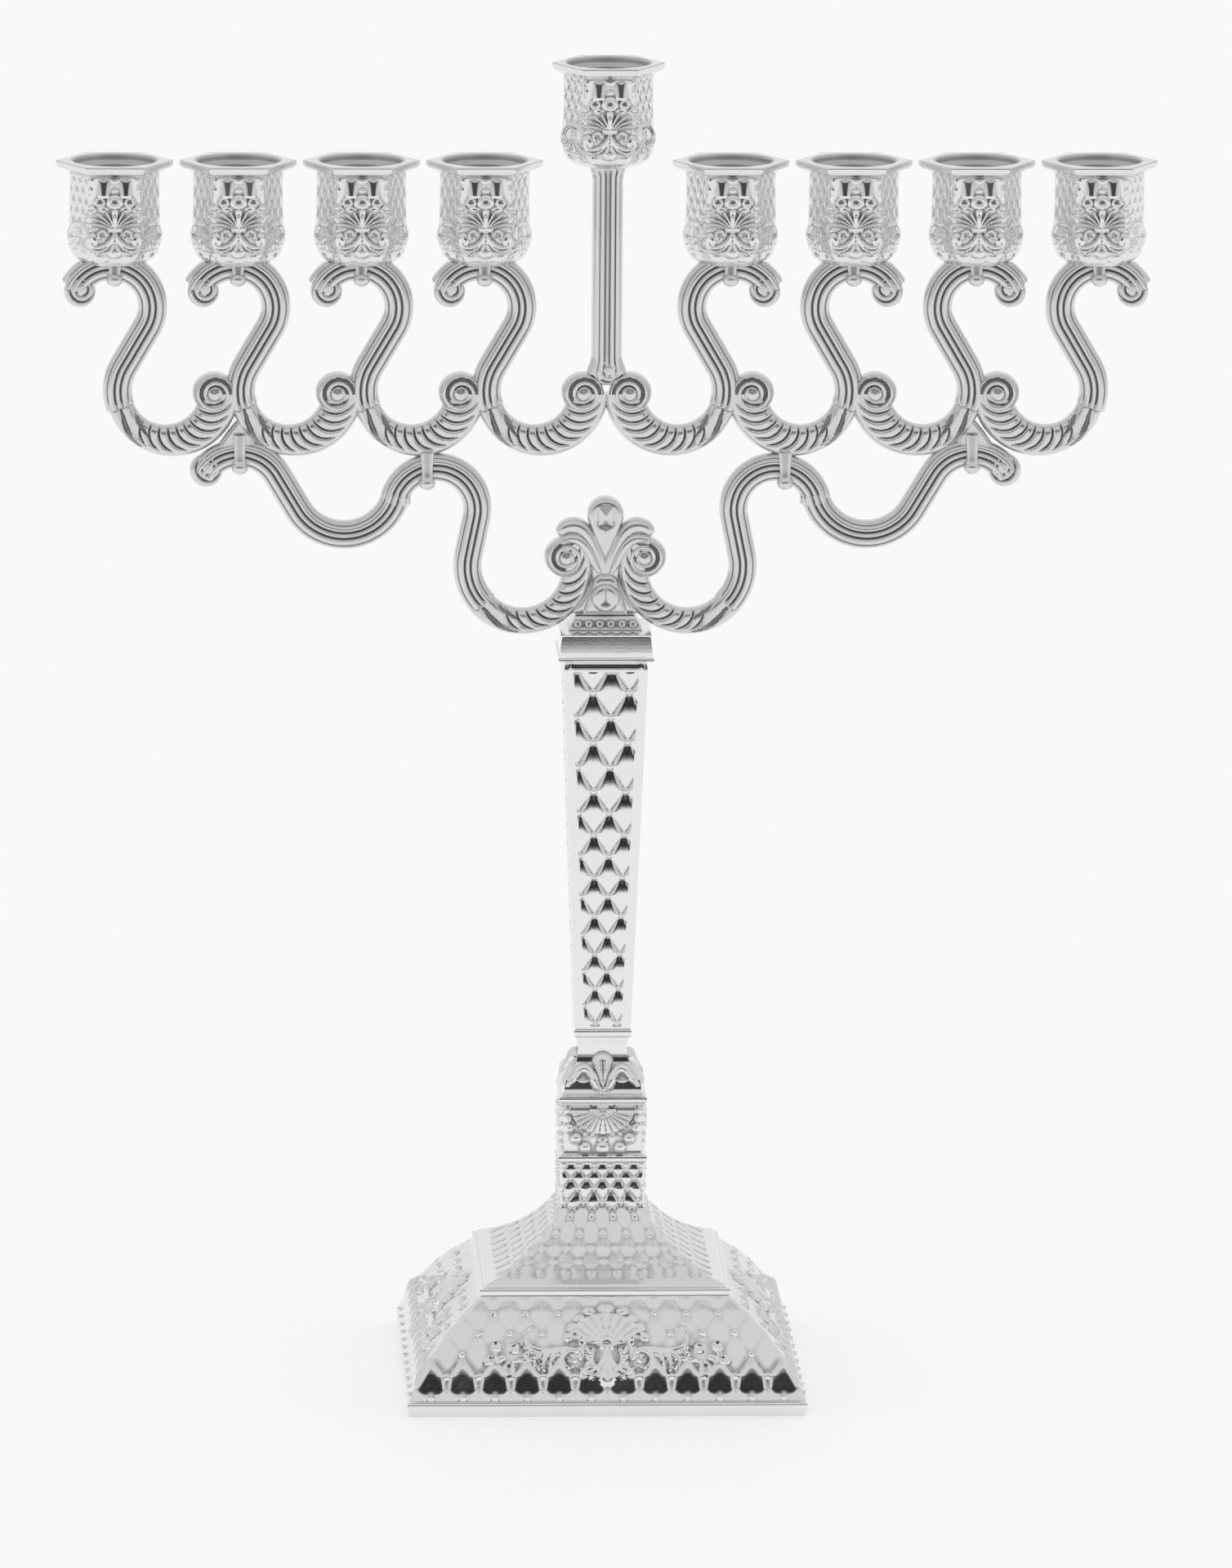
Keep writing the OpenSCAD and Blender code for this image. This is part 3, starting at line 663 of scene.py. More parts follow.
def lower_inner_arm():
    """The inner arm of the left-hand side, from its cuff to its volute."""
    arch, leaf = (-45.3, 236), (-22, 220.6)
    return Shape(hook_grid(LOWER_W, arch, 11.2, 166, leaf, 14.7, 226),
                 leaf_grid(leaf, 18.6, (leaf[0], leaf[1] - 1.2), 10.4, 221, 384),
                 volute_grid((-10.4, 222.9)))


def lower_outer_arm():
    """The outer arm of the left-hand side, from its curl to the cuff, with the web over its curl."""
    arch, bend = (-97.4, 239.6), (-69.6, 243.2)
    web = polygon_radius((-7.5, -6), (7, -6), (4.4, 1.5), (1.4, 6), (-2.2, 1.5))
    return Shape(hook_grid(LOWER_W, arch, 11.4, 144, bend, 14.3, 347),
                 curl_grid((-106.3, 246.4), CURL_R, ARM_T - 0.9, CURL_R),
                 disc_grid((-98.4, 255.5), web, ARM_T - 2, cols=80, rows=8))


def stem(low, high):
    """The middle stem: a fluted upright whose foot laps over a scalloped disc."""
    foot, head = low[2] + 3.4, high[2]

    def flare(s, side):
        length = head - foot
        return 1 + 0.3 * (1 - ease(s, -0.4, 4.6)) + 0.16 * ease(s, length - 3, length - 1.2)

    upright = joined(straight_run((0, foot - 0.5), (0, head + 0.1)))
    return Shape(sweep(upright, fluted_section(120, 8.2, ARM_T, 0.14, 0.5), flare, round_by=0.4),
                 curl_grid((0, low[2] + 3.5), 3.5, ARM_T - 0.7, 4.2, cols=64))


def clip(z0, z1):
    """A loop that hugs an arm from below, swollen to a ball at the foot of its front and back."""
    half, thick = ARM_T / 2 + 0.75, 0.85
    right = smooth_line([(half - 0.3, z1), (half + 0.1, (z0 + z1) / 2), (half + 0.3, z0 + 2.4),
                         (half - 0.4, z0 + 1), (half - 2, z0 + 0.6), (0, z0 + 0.55)], 30)
    loop = np.vstack([right * [-1, 1], right[-2::-1]])
    normal = normals(loop)
    a = around(28)
    height = ((loop[:, 1] - z0) / (z1 - z0)).clip(0, 1)
    wide = 1.6 + 0.15 * ease(height, 0.6, 1) - 0.12 * groove(height, 0.45, 0.2)
    off = thick * np.sin(a)
    y, z = (loop[:, i:i + 1] + normal[:, i:i + 1] * off for i in (0, 1))
    balls = [ball_grid((0, side * (half + 0.1), z0 + 1.7), (2.15, 1.6, 1.8)) for side in (-1, 1)]
    return Shape(np.stack([wide[:, None] * np.cos(a), y, z], -1), *balls)


def make_arms():
    for n in range(1, 9):
        low, high = span(f"candle_cup_{n}")
        x = (low[0] + high[0]) / 2
        candle_arm(low[2]).make(f"look_candle_arm_{n}", ARM_SILVER, [f"candle_arm_{n}"], "silver_plate",
                                (x, 0, 0), mirror=x > 0)
    for side in ("left", "right"):
        for kind, arm in (("inner", lower_inner_arm), ("outer", lower_outer_arm)):
            arm().make(f"look_lower_arm_{kind}_{side}", ARM_SILVER, [f"lower_arm_{kind}_{side}"],
                       "silver_plate", mirror=side == "right")
    stem(*span("shamash_stem")).make("look_shamash_stem", ARM_SILVER, ["shamash_stem"], "silver_plate")


def make_clips():
    for kind, count in (("cup_clip", 8), ("branch_clip", 4)):
        for n in range(1, count + 1):
            low, high = span(f"{kind}_{n}")
            clip(low[2], high[2]).make(f"look_{kind}_{n}", ARM_SILVER, [f"{kind}_{n}"], "silver_plate",
                                       ((low[0] + high[0]) / 2, 0, 0))


# ---------------- bracket

def bud_grid(z):
    """The bud on top: round above, drawn down to a point, with a faceted boss on its face."""
    def outline(a):
        round_r, side_turn, longest = 4.9, 1.22, 14
        off_tip = np.abs(np.angle(np.exp(1j * (a + np.pi / 2))))
        sides = np.minimum(round_r / np.maximum(np.cos(side_turn - off_tip), 0.05), longest)
        return np.where(off_tip < side_turn, sides, round_r)

    def face(x, z):
        facet = 1.5 - 1.5 * np.maximum(np.abs(x) / 2, np.abs(z - 0.3) / 2.6)
        lower = 1.1 * np.clip(1 - np.abs(x) / np.maximum(4.2 + 0.32 * z, 0.3), 0, 1) * ease(-z, 1, 4)
        return 0.6 + np.clip(facet, 0, 1.5) * 0.55 + lower * 0.7

    return disc_grid((0, z), outline, ARM_T - 0.8, face, cols=120, rows=40)


def petal_grids():
    """Three pairs of petals: rounded bars along curves, each with its half widths and half depth."""
    petals = [([(0.9, 220.8), (2.7, 225.2), (4.7, 229), (7.3, 231.1), (10.4, 231), (12.7, 228.9)],
               (0.9, 1.3, 1.75, 2.1, 2.2, 1.9, 1.5), 2.9),
              ([(1.1, 217.8), (2.9, 221.6), (4.6, 225.2), (7.2, 227.6), (10, 227.9), (12.6, 226.6)],
               (0.9, 1.3, 1.6, 1.7, 1.7, 1.6, 1.3), 3.3),
              ([(0.6, 216.6), (1.7, 219.2), (3, 222.4), (4.2, 224.4)], (0.8, 1, 1.2, 1.3, 1), 2.9)]
    rows = 60
    ends = np.sqrt(np.clip(1 - np.linspace(-1, 1, rows) ** 12, 0.01, 1))[:, None]
    a = around(40)
    for points, widths, half in petals:
        line = smooth_line(points, rows)
        normal = normals(line)
        wide = np.interp(np.linspace(0, 1, rows), np.linspace(0, 1, len(widths)), widths)
        off = wide[:, None] * np.cos(a) * ends
        deep = np.sign(np.sin(a)) * np.abs(np.sin(a)) ** 0.6 * half * ends
        x, z = (line[:, i:i + 1] + normal[:, i:i + 1] * off for i in (0, 1))
        for side in (1, -1):
            yield np.stack([x * side, deep, z], -1)


def boss_face(x, z):
    """The ball on the gusset: flattened, with a crease above its middle and a point below it."""
    crease = groove(x, 0, 0.28) * ease(z, -1.2, 0.5)
    point = np.clip(-0.6 - z - 0.7 * np.abs(x), 0, None)
    return 1.3 * np.sqrt(np.clip(1 - (np.hypot(x, z) / 4.1) ** 5, 0, 1)) - 0.3 * crease + 0.2 * point


def foot_grid(foot_z):
    """The foot: a pad with a row of hollowed beads along its front and its back."""
    half_w, half_d, beads, pitch, bead_z, bead_r = 9.8, 5.5, 6, 2.93, 1.75, 1.15
    outline = [(0.03, 0), (0.97, 0), (1, 0.15), (0.93, 1.6), (0.83, 3.35), (0.80, 3.6), (0.03, 3.62)]
    c = np.linspace(-1, 1, 72, endpoint=False)
    rows = []
    for f, z in resample(outline, 0.04):
        wx, wy = half_w * f, half_d * (1 - 1.4 * (1 - f)) if f > 0.5 else half_d * f
        ring = []
        for k, (ca, sa) in enumerate(QUARTERS):
            front = k % 2 == 0
            across, deep = (wx, wy) if front else (wy, wx)
            u, v, out = c * across, np.full_like(c, z), np.full_like(c, deep)
            for n in range(beads if front and f > 0.5 else 0):
                middle = (n - (beads - 1) / 2) * pitch
                out = out + 0.95 * dome(u, v, middle, bead_z, bead_r)
                out = out - 0.6 * dome(u, v, middle, bead_z, 0.45, power=1)
            ring.append(np.stack([u * ca + out * sa, u * sa - out * ca, foot_z + v], -1))
        rows.append(np.concatenate(ring))
    return np.array(rows)


def bracket():
    """The fleur between the lower arms: bud, petals, the plates behind them, gusset, ball and foot."""
    low, high = span("fleur_bracket")
    foot_z = low[2] + 2.5
    plate = polygon_radius((-3.4, -13), (3.4, -13), (4.2, -4), (9, 0.5), (9, 3.5), (3, 4.5), (0, 5),
                           (-3, 4.5), (-9, 3.5), (-9, 0.5), (-4.2, -4))
    web = polygon_radius((-9.6, -4.6), (9.6, -4.6), (5.4, 2), (3.6, 6), (-3.6, 6), (-5.4, 2))
    gusset = polygon_radius((-6.5, -6.3), (6.5, -6.3), (3.1, 4.4), (1.6, 5.4), (-1.6, 5.4), (-3.1, 4.4))

    def gusset_face(x, z):
        return -0.6 * groove(z, -5.2, 0.28) * (np.abs(x) < 5.6)

    shape = Shape(bud_grid(high[2] - 4.9), *petal_grids(),
                  disc_grid((0, 226), plate, ARM_T - 1.4, cols=120, rows=10),
                  disc_grid((0, foot_z + 8.4), web, ARM_T - 1.2, cols=96, rows=8),
                  disc_grid((0, foot_z + 9.6), gusset, 8.6, gusset_face, cols=120, rows=26),
                  disc_grid((0, foot_z + 8.7), 4.25, 9.4, boss_face, cols=72, rows=26))
    shape.grid(foot_grid(foot_z), blur=2)
    shape.make("look_fleur_bracket", ARM_SILVER, ["fleur_bracket"], "silver_plate")


# ---------------- square castings

def square_loft(pts, relief, cols, corner=0.35, columns=None):
    """A stack of square outlines through (half width, z) points, pushed out along their slope by
    relief(u, z, half, face). columns picks a run of columns, counted round from the middle of the
    left face, for a casting that is split down its sides."""
    half, z = pts[:, :1], pts[:, 1:]
    d = directions(pts)
    out, up = -d[:, 1:], d[:, :1]
    if out[len(out) // 2] < 0:
        out, up = -out, -up
    c = np.linspace(-1, 1, cols, endpoint=False)[None]
    faces = []
    for k, (ca, sa) in enumerate(QUARTERS):
        u, zz, hh = half * c, z + 0 * c, half + 0 * c
        h = relief(u, zz, hh, k) * ease(hh - np.abs(u), 0, corner)
        y = -(hh + h * out)
        faces.append(np.stack([u * ca - y * sa, u * sa + y * ca, zz + h * up], -1))
    ring = np.concatenate(faces, 1)
    return ring if columns is None else np.roll(ring, cols // 2, axis=1)[:, columns]


def beaded(h, bead, height):
    """Puts beads of the given height on a relief, and leaves the rest."""
    return np.where(bead > 0, np.maximum(h, height), h)


def medallion(u, s):
    """The shell, scrolls and flower sprays in the middle of each side of the lower tier; s is the
    distance up the slope."""
    h = raised(np.zeros_like(u), 1, dome, u, s, (
        (0, 26.9, 2.3, 1.7), (4.5, 26, 1.75, 1.6), (7, 23.6, 1.6, 1.5), (9.1, 21, 1.45, 1.5),
        (10.1, 17.9, 1.25, 1.5)))
    h = np.maximum(h, shell_fan(u, s - 14.8, 11, 15.5, 76))
    h = np.maximum(h, 1.1 * band(u, s, 1.9, 14.9, 0.8))
    # stems and leaves
    h = sprays(h, u, s, (
        (1, (0.75, 0.7, 0.35), [(0.2, 14), (1.3, 11), (3, 8.3), (5, 7.2), (6.6, 7.8), (7, 9)]),
        (0.8, (0.5, 0.55, 0.3), [(0.2, 12.6), (1.4, 9.6), (3, 7), (4.8, 6.1), (6.6, 6.5)]),
        (1, (0.5, 0.75, 0.35), [(6.5, 13.2), (9.5, 14.6), (14, 14.2), (18.5, 14.2), (21.3, 16.2),
                                  (21.6, 19.2), (19.8, 21)]),
        (0.7, (0.3, 0.55, 0.25), [(10, 13.6), (14, 13.3), (18.6, 13.2), (22.4, 15.6), (22.9, 19)]),
        (0.9, (0.7, 0.5), [(18.5, 11.6), (22, 11.3), (26, 10.4)]),
        (1.05, (0.45, 0.8, 0.3), [(8, 14), (11.5, 13.8), (14.4, 12), (15.4, 9.2), (15, 8)]),
        (1.05, (0.45, 0.8, 0.3), [(9.5, 14.2), (13.2, 13.8), (16.4, 12), (17.2, 9.6), (16.6, 8.2)]),
        (1.05, (0.45, 0.8, 0.3), [(11, 14.4), (15, 13.9), (18.4, 12.2), (19.2, 10.2), (18, 8.6)])))
    # a scroll with its button
    h = raised(h, 1.15, stroke, u, s, [(arc((9.4, 11.4), 2.5, 120, -110, 20), (0.8, 0.75, 0.45))])
    h = raised(h, 0.8, stroke, u, s, [(arc((9.2, 11.6), 1, 0, 350, 16), (0.45, 0.35))])
    # small flowers, the drop in the middle, then the large flowers at the sides
    h = raised(h, 0.85, cupped, u, s, (
        (4.6, 12.4, 1.4), (5.9, 14.4, 1.25), (3.6, 14, 0.9), (6.9, 12.2, 1), (4.9, 10.3, 1.1),
        (6.6, 16.4, 1.1), (5.2, 17.2, 0.8), (7.4, 14.3, 0.8)), hollow=0.55)
    drop = np.maximum(dome(u, s, 0, 6.4, 2.35, 2.5), stroke(u, s, [(0, 12), (0, 7)], (0.5, 2.1)))
    h = np.maximum(h, 1.3 * drop - 0.5 * dome(u, s, 0, 7.2, 0.9, 2.4, power=1))
    h = raised(h, 1, cupped, u, s, ((24.9, 14.6, 1.9, 1.7), (29.5, 15.2, 1.6, 1.6), (30.6, 11.2, 2.4, 1.6),
                                      (26.2, 8.6, 1.8, 2.3)), hollow=0.66)
    return raised(h, 1.1, dome, u, s, [(27.8, 11.8, 1.1)])


def lower_tier():
    """The lowest tier: a plinth, then a swelling slope of tufting over a row of drop-shaped eggs."""
    low, high = span("base_lower_tier")
    plinth, top, plinth_h, wall = high[0], high[2], 3.9, 4
    ledge = span("base_upper_tier")[1][0]
    slope = bulge((plinth - 0.5, plinth_h + 0.4), (ledge - 0.4, top), 2.2)
    up_slope = distances(slope)
    inner = plinth - wall
    shelf = [(0.4, top - 0.2), (ledge - 3, top - 0.2), (ledge - 0.5, top)]
    edge = lifted(plinth_h, (plinth - 0.95, 0.1), (plinth - 0.95, -0.1), (plinth - 0.3, -0.2), (plinth, -0.7))
    edge += [(plinth - 0.1, 2.2), (plinth - 0.6, 0.15), (plinth - 0.9, 0)]
    under = [(inner + 0.2, 0), (inner, 0.2), (inner, 1.4), (inner - 1, 1.8), (0.4, 1.8)]
    pts = stretches((shelf, 5), (slope[::-1], 0.33), (edge, 0.3), (under, 5))
    pitch, row, first = 8.55, 6.25, 6.7  # of the tufting: its beads across, up, and the lowest ones
    egg_half, egg_rise, egg_fall, egg_height = 4.05, 2.3, 7.2, 1.9

    def relief(u, z, half, face):
        s = np.interp(z, slope[:, 1], up_slope)
        x, y = u / pitch, (s - first) / (2 * row)
        tuft, bead = quilt(x, y, 0.115, 0.08, facet=0.5)
        aside = np.abs(x - np.floor(x) - 0.5) * pitch / egg_half
        crest = first + egg_rise * (1 - aside)
        below, above = (crest - s).clip(0) / egg_fall, (s - crest).clip(0) / (row - 1.2)
        foot = (1 - below) * np.clip(1 - aside ** 2.6 - below ** 2.6, 0, 1) ** 0.6
        to_side = (2 * np.abs((x % 1) - 0.5) / np.maximum(1 - np.abs(2 * y), 0.02)).clip(0, 1)
        sides = swell(to_side, 2.8)
        body = np.where(s < first, foot, (1 - below) * sides)
        egg = egg_height * np.where(s < crest, body, (1 - above).clip(0) * sides)
        seam = groove((x - np.round(x)) * pitch, 0, 0.3) * ease(s, 1.2, 2.2) * (1 - ease(s, 4.6, 5.6))
        cove = 0.35 * tuft - 0.35 * seam
        upper = (0.85 - 0.4 * ease(s, 8, 18)) * tuft
        lowest_row = np.floor(x + y) == np.floor(x - y)
        h = np.where(s < first, np.maximum(cove, egg), np.where(lowest_row, egg, upper)) - 0.3
        h = beaded(h, bead, 1.1 * bead - 0.2)
        ornament = medallion(u, s)
        h = np.where(ornament > 0.02, np.maximum(h * 0.3, 0) + 1.1 * ornament, h)
        on = ease(z, plinth_h + 0.5, plinth_h + 1.2) * (1 - ease(z, top - 0.9, top - 0.2))
        outside = half > np.interp(z, slope[:, 1], slope[:, 0]) - 0.5
        return h * on * outside

    return square_loft(pts, relief, cols=206, corner=1.4)


def upper_tier():
    """The next tier: a plain lip, a slope that curves in, and a tufted neck."""
    low, high = span("base_upper_tier")
    z0, top, half = low[2], high[2], high[0]
    lip_h, neck, neck_z = 1.8, 11.2, 47
    flare = bulge((half - 1.7, z0 + lip_h + 0.9), (neck, neck_z), -2.4, 40)
    edge = [(half - 0.5, z0), (half, z0 + 0.2)]
    edge += lifted(z0 + lip_h, (half, -0.3), (half - 0.2, 0), (half - 1.1, 0.15), (half - 1.4, 0.45))
    pts = stretches(([(0.4, z0), (half - 1, z0)], 5), (edge, 0.3), (flare, 0.27),
                    ([(neck, neck_z + 0.3), (neck, top - 0.1)], 0.27),
                    ([(neck - 1, top - 0.1), (0.4, top - 0.1)], 4))
    # the rows of the tufting, counted in half rows from the one at 41.1, and how far apart its beads are
    rows_z = [30.5, 33.2, 35.2, 38, 41.1, 45.3, 48.8, 52.6, 55.3, 57.6, 60]
    rows_y = np.array([-3.6, -3, -2, -1, 0, 1, 2, 3, 4, 5, 6]) / 2
    pitch_z, pitches = [33, 41, 45.3, 48.8, 53, 60], [6.9, 6.35, 5.7, 4.9, 4.25, 4.2]

    def relief(u, z, half_w, face):
        x, y = u / np.interp(z, pitch_z, pitches), np.interp(z, rows_z, rows_y)
        tuft, bead = quilt(x, y, 0.17, 0.14, facet=0.3)
        on_neck = ease(z, 44, 48)
        rise = 0.8 - 0.3 * ease(z, 50, 53)
        h = 0.45 * (1 - on_neck) * tuft + rise * on_neck * pillows(x, y, 0.1, 1.4, 3) - 0.25
        h = beaded(h, bead, (0.35 + 0.45 * ease(z, 38, 46)) * bead)
        return h * (ease(z, z0 + lip_h + 1.4, z0 + lip_h + 2.4) * (1 - ease(z, top - 0.5, top - 0.1)))

    return square_loft(pts, relief, cols=148, corner=0.8)


def column(front):
    """One half of the tapered column: panels of pillows inside a plain border."""
    z0, z1 = heights("column_front_shell")
    foot, head, border = 7.3, 11.2, 2.5
    taper = (head - foot) / (z1 - z0)

    cove = lifted(z1, (head - 0.7, 0), (head - 0.4, -0.6), (head - 0.18, -1.6))
    panel = [(foot + taper * (z - z0), z) for z in (z1 - 2.4, z0 + 2.7)]
    bead_ring = lifted(z0, (foot + 0.05, 2.4), (foot + 0.3, 2), (foot + 0.38, 1.5), (foot + 0.38, 0.8),
                       (foot + 0.05, 0.1))
    pts = stretches(([(0.4, z1), (foot, z1)], 3), (cove + panel + bead_ring, 0.25),
                    ([(foot - 0.5, z0), (0.4, z0)], 3))
    # heights at which the half rows of the pillows begin, counted down from the top one
    rows_z, rows = [92.6, 97.2, 116.2, 137.4, 160.9, 188.1, 194.9], np.array([17, 16, 12, 8, 4, 0, -1])

    def relief(u, z, half, face):
        edge = half - np.abs(u)
        inside = ease(edge, border - 0.4, border + 0.15) * ease(z, z0 + 3.2, z0 + 3.9)
        inside = inside * (1 - ease(z, z1 - 3.4, z1 - 2.6))
        x, y = u / (1.126 * half - 2.54) + 0.35, -np.interp(z, rows_z, rows) / 2
        bead = quilt(x, y, 0.1, 0.075)[1]
        scale = half / head
        h = (1.15 * pillows(x, y, 0.2, 1.95, 3) - 1) * scale
        h = beaded(h, bead, (1.15 * bead - 0.8) * scale)
        raised_edge = 0.2 * groove(edge, 1.1, 0.6) * ease(z, z0 + 3, z0 + 4)
        return h * inside + raised_edge * (1 - inside)

    cols = 104
    pick = slice(0, 2 * cols + 1) if front else slice(2 * cols, None)
    P = square_loft(pts, relief, cols=cols, columns=pick)
    P[..., 1] = np.minimum(P[..., 1], -0.02) if front else np.maximum(P[..., 1], 0.02)
    return P


def shell_block():
    """The block with a hanging shell on each side."""
    z0, z1 = heights("shell_block")
    levels = lifted(z0, (0.4, 0), (11.4, 0), (11.8, 0.4), (11.9, 1.1), (11.8, 1.7), (11.2, 2.1), (10.3, 2.5),
                    (10.2, 3.1), (10.5, 4.2), (10.5, 14.3), (10.3, 14.5))
    levels += lifted(z1, (11, -0.9), (11.4, -0.5), (11.1, 0), (0.4, 0))

    def relief(u, z, half, face):
        v = z - (z1 - 1.6)
        h = 1.15 * shell_fan(0.8 * u, -v - 0.4, 7.2, 13.5, 88)
        h = raised(h, 1, dome, u, v, (
            (0, -11, 2.1), (4.6, -10.8, 1.7), (7.1, -8.2, 1.6), (9, -5.4, 1.4), (9.4, -2.9, 1.2)))
        h = raised(h, 0.75, cupped, u, v, ((3.7, -7.1, 1.9, 0.8), (0, -8.6, 1.6, 0.8), (6.6, -5.2, 1.3, 0.9)))
        return 1.5 * h * ease(z, z0 + 2.7, z0 + 3.3) * (1 - ease(z, z1 - 1.7, z1 - 1.3))

    return square_loft(resample(levels, 0.2), relief, cols=108, corner=1.2)


def pedestal():
    """The waisted pedestal under the column: a drop between two curling petals on each side."""
    z0, z1 = heights("fleur_pedestal")
    levels = lifted(z0, (0.4, 0), (11.4, 0), (11.8, 0.3), (11.85, 1), (11.7, 1.5), (11.2, 1.7), (10.7, 2.1),
                    (10.9, 2.5), (10.5, 3.1), (10.3, 3.5), (9.85, 6), (8.6, 7.4), (7.05, 10.3), (6.8, 11.5),
                    (6.68, 12.4), (6.62, 13.3), (6.6, 15.2), (6.75, 15.6))
    levels += lifted(z1, (7, -0.3), (7, 0), (0.4, 0))
    tip, widest, head, drop_r = 4, 10.3, 2.6, 2.8
    petal = [(0.2, 3.2), (1.4, 4.2), (2.6, 6.6), (4.3, 8.5), (6, 8.3), (7.6, 6.6), (9.3, 4.9)]

    def relief(u, z, half, face):
        v = z - z0
        taper = ((v - tip) / (widest - tip)).clip(0.001, 1) ** 0.75
        rounded = np.sqrt(np.clip(1 - ((v - widest) / head) ** 2, 0.001, 1))
        wide = drop_r * np.where(v < widest, taper, rounded)
        drop = swell(u / wide, 2, 0.55) * (v > tip) * (v < widest + head)
        crease = groove(u, 0, 0.22) * ease(v, 5, 6) * (1 - ease(v, 10.9, 11.5))
        h = 1.7 * drop * (0.4 + 0.6 * wide / drop_r) - 0.5 * crease
        h = sprays(h, u, v, [(1.15, (0.7, 1.2, 1.2, 0.5), petal)])
        eye = raised(0 * u, 1, dome, u, v, [(5.2, 6.6, 1.8, 1.2)], power=0.7)
        h = np.where(h > 0.05, h, -0.6 * eye)
        return np.where(h > 0, 1.35, 1) * h * ease(v, 2.5, 3) * (1 - ease(v, 14.8, 15.4))

    return square_loft(resample(levels, 0.2), relief, cols=100)


def cap():
    """The plain moulded cap between the column and the bracket."""
    low, high = span("column_cap")
    z0, z1, half = low[2], high[2], high[0]
    foot = [(1.4, 0), (0.5, 0.2), (0, 0.7), (0.1, 1.1), (0.5, 1.35), (0.45, 1.7), (0.52, 2.7), (0.62, 3.7),
            (0.73, 4.7), (0.85, 5.7), (0.98, 6.7), (1.3, 6.75), (0.75, 6.95)]
    levels = [(0.4, z0)] + lifted(z0, *((half - inset, up) for inset, up in foot))
    levels += lifted(z1, (half - 0.7, -0.15), (half - 0.9, 0), (0.4, 0))
    return square_loft(resample(levels, 0.25), lambda u, z, half_w, face: 0 * u, cols=60)


def make_tiers():
    # the last number is the depth of a hollow that gets the full painted shade
    jobs = [("look_base_lower", lower_tier(), ["base_lower_tier"], 0.62),
            ("look_base_upper", upper_tier(), ["base_upper_tier"], 0.42),
            ("look_shell_block", shell_block(), ["shell_block"], 0.4),
            ("look_fleur_pedestal", pedestal(), ["fleur_pedestal"], 0.5),
            ("look_column_cap", cap(), ["column_cap"], 0.5),
            ("look_column_front", column(True), ["column_front_shell"], 0.55),
            ("look_column_rear", column(False), ["column_rear_shell"], 0.55)]
    for name, grid, nodes, full in jobs:
        Shape(grid, full=full).make(name, SILVER, nodes, "silver_plate")


def make_pad():
    """The felt-faced board that closes the underside."""
    low, high = span("base_pad")
    side, under = high[0] - 0.1, low[2] + 0.05
    levels = [(0.4, high[2]), (side - 0.4, high[2]), (side, high[2] - 0.3), (side, low[2] + 0.35),
              (side - 0.35, under), (0.4, under)]

    def nap(u, z, half, face):
        return 0.03 * np.sin(u * 3.1 + face) * np.sin(half * 2.3 + u) + 0.02 * np.sin(u * 7.7 - half * 5.1)

    board = square_loft(resample(levels, 0.8), nap, cols=80, corner=1)
    Shape(board).make("look_base_pad", FELT, ["base_pad"], "base_felt")


# ---------------- cups

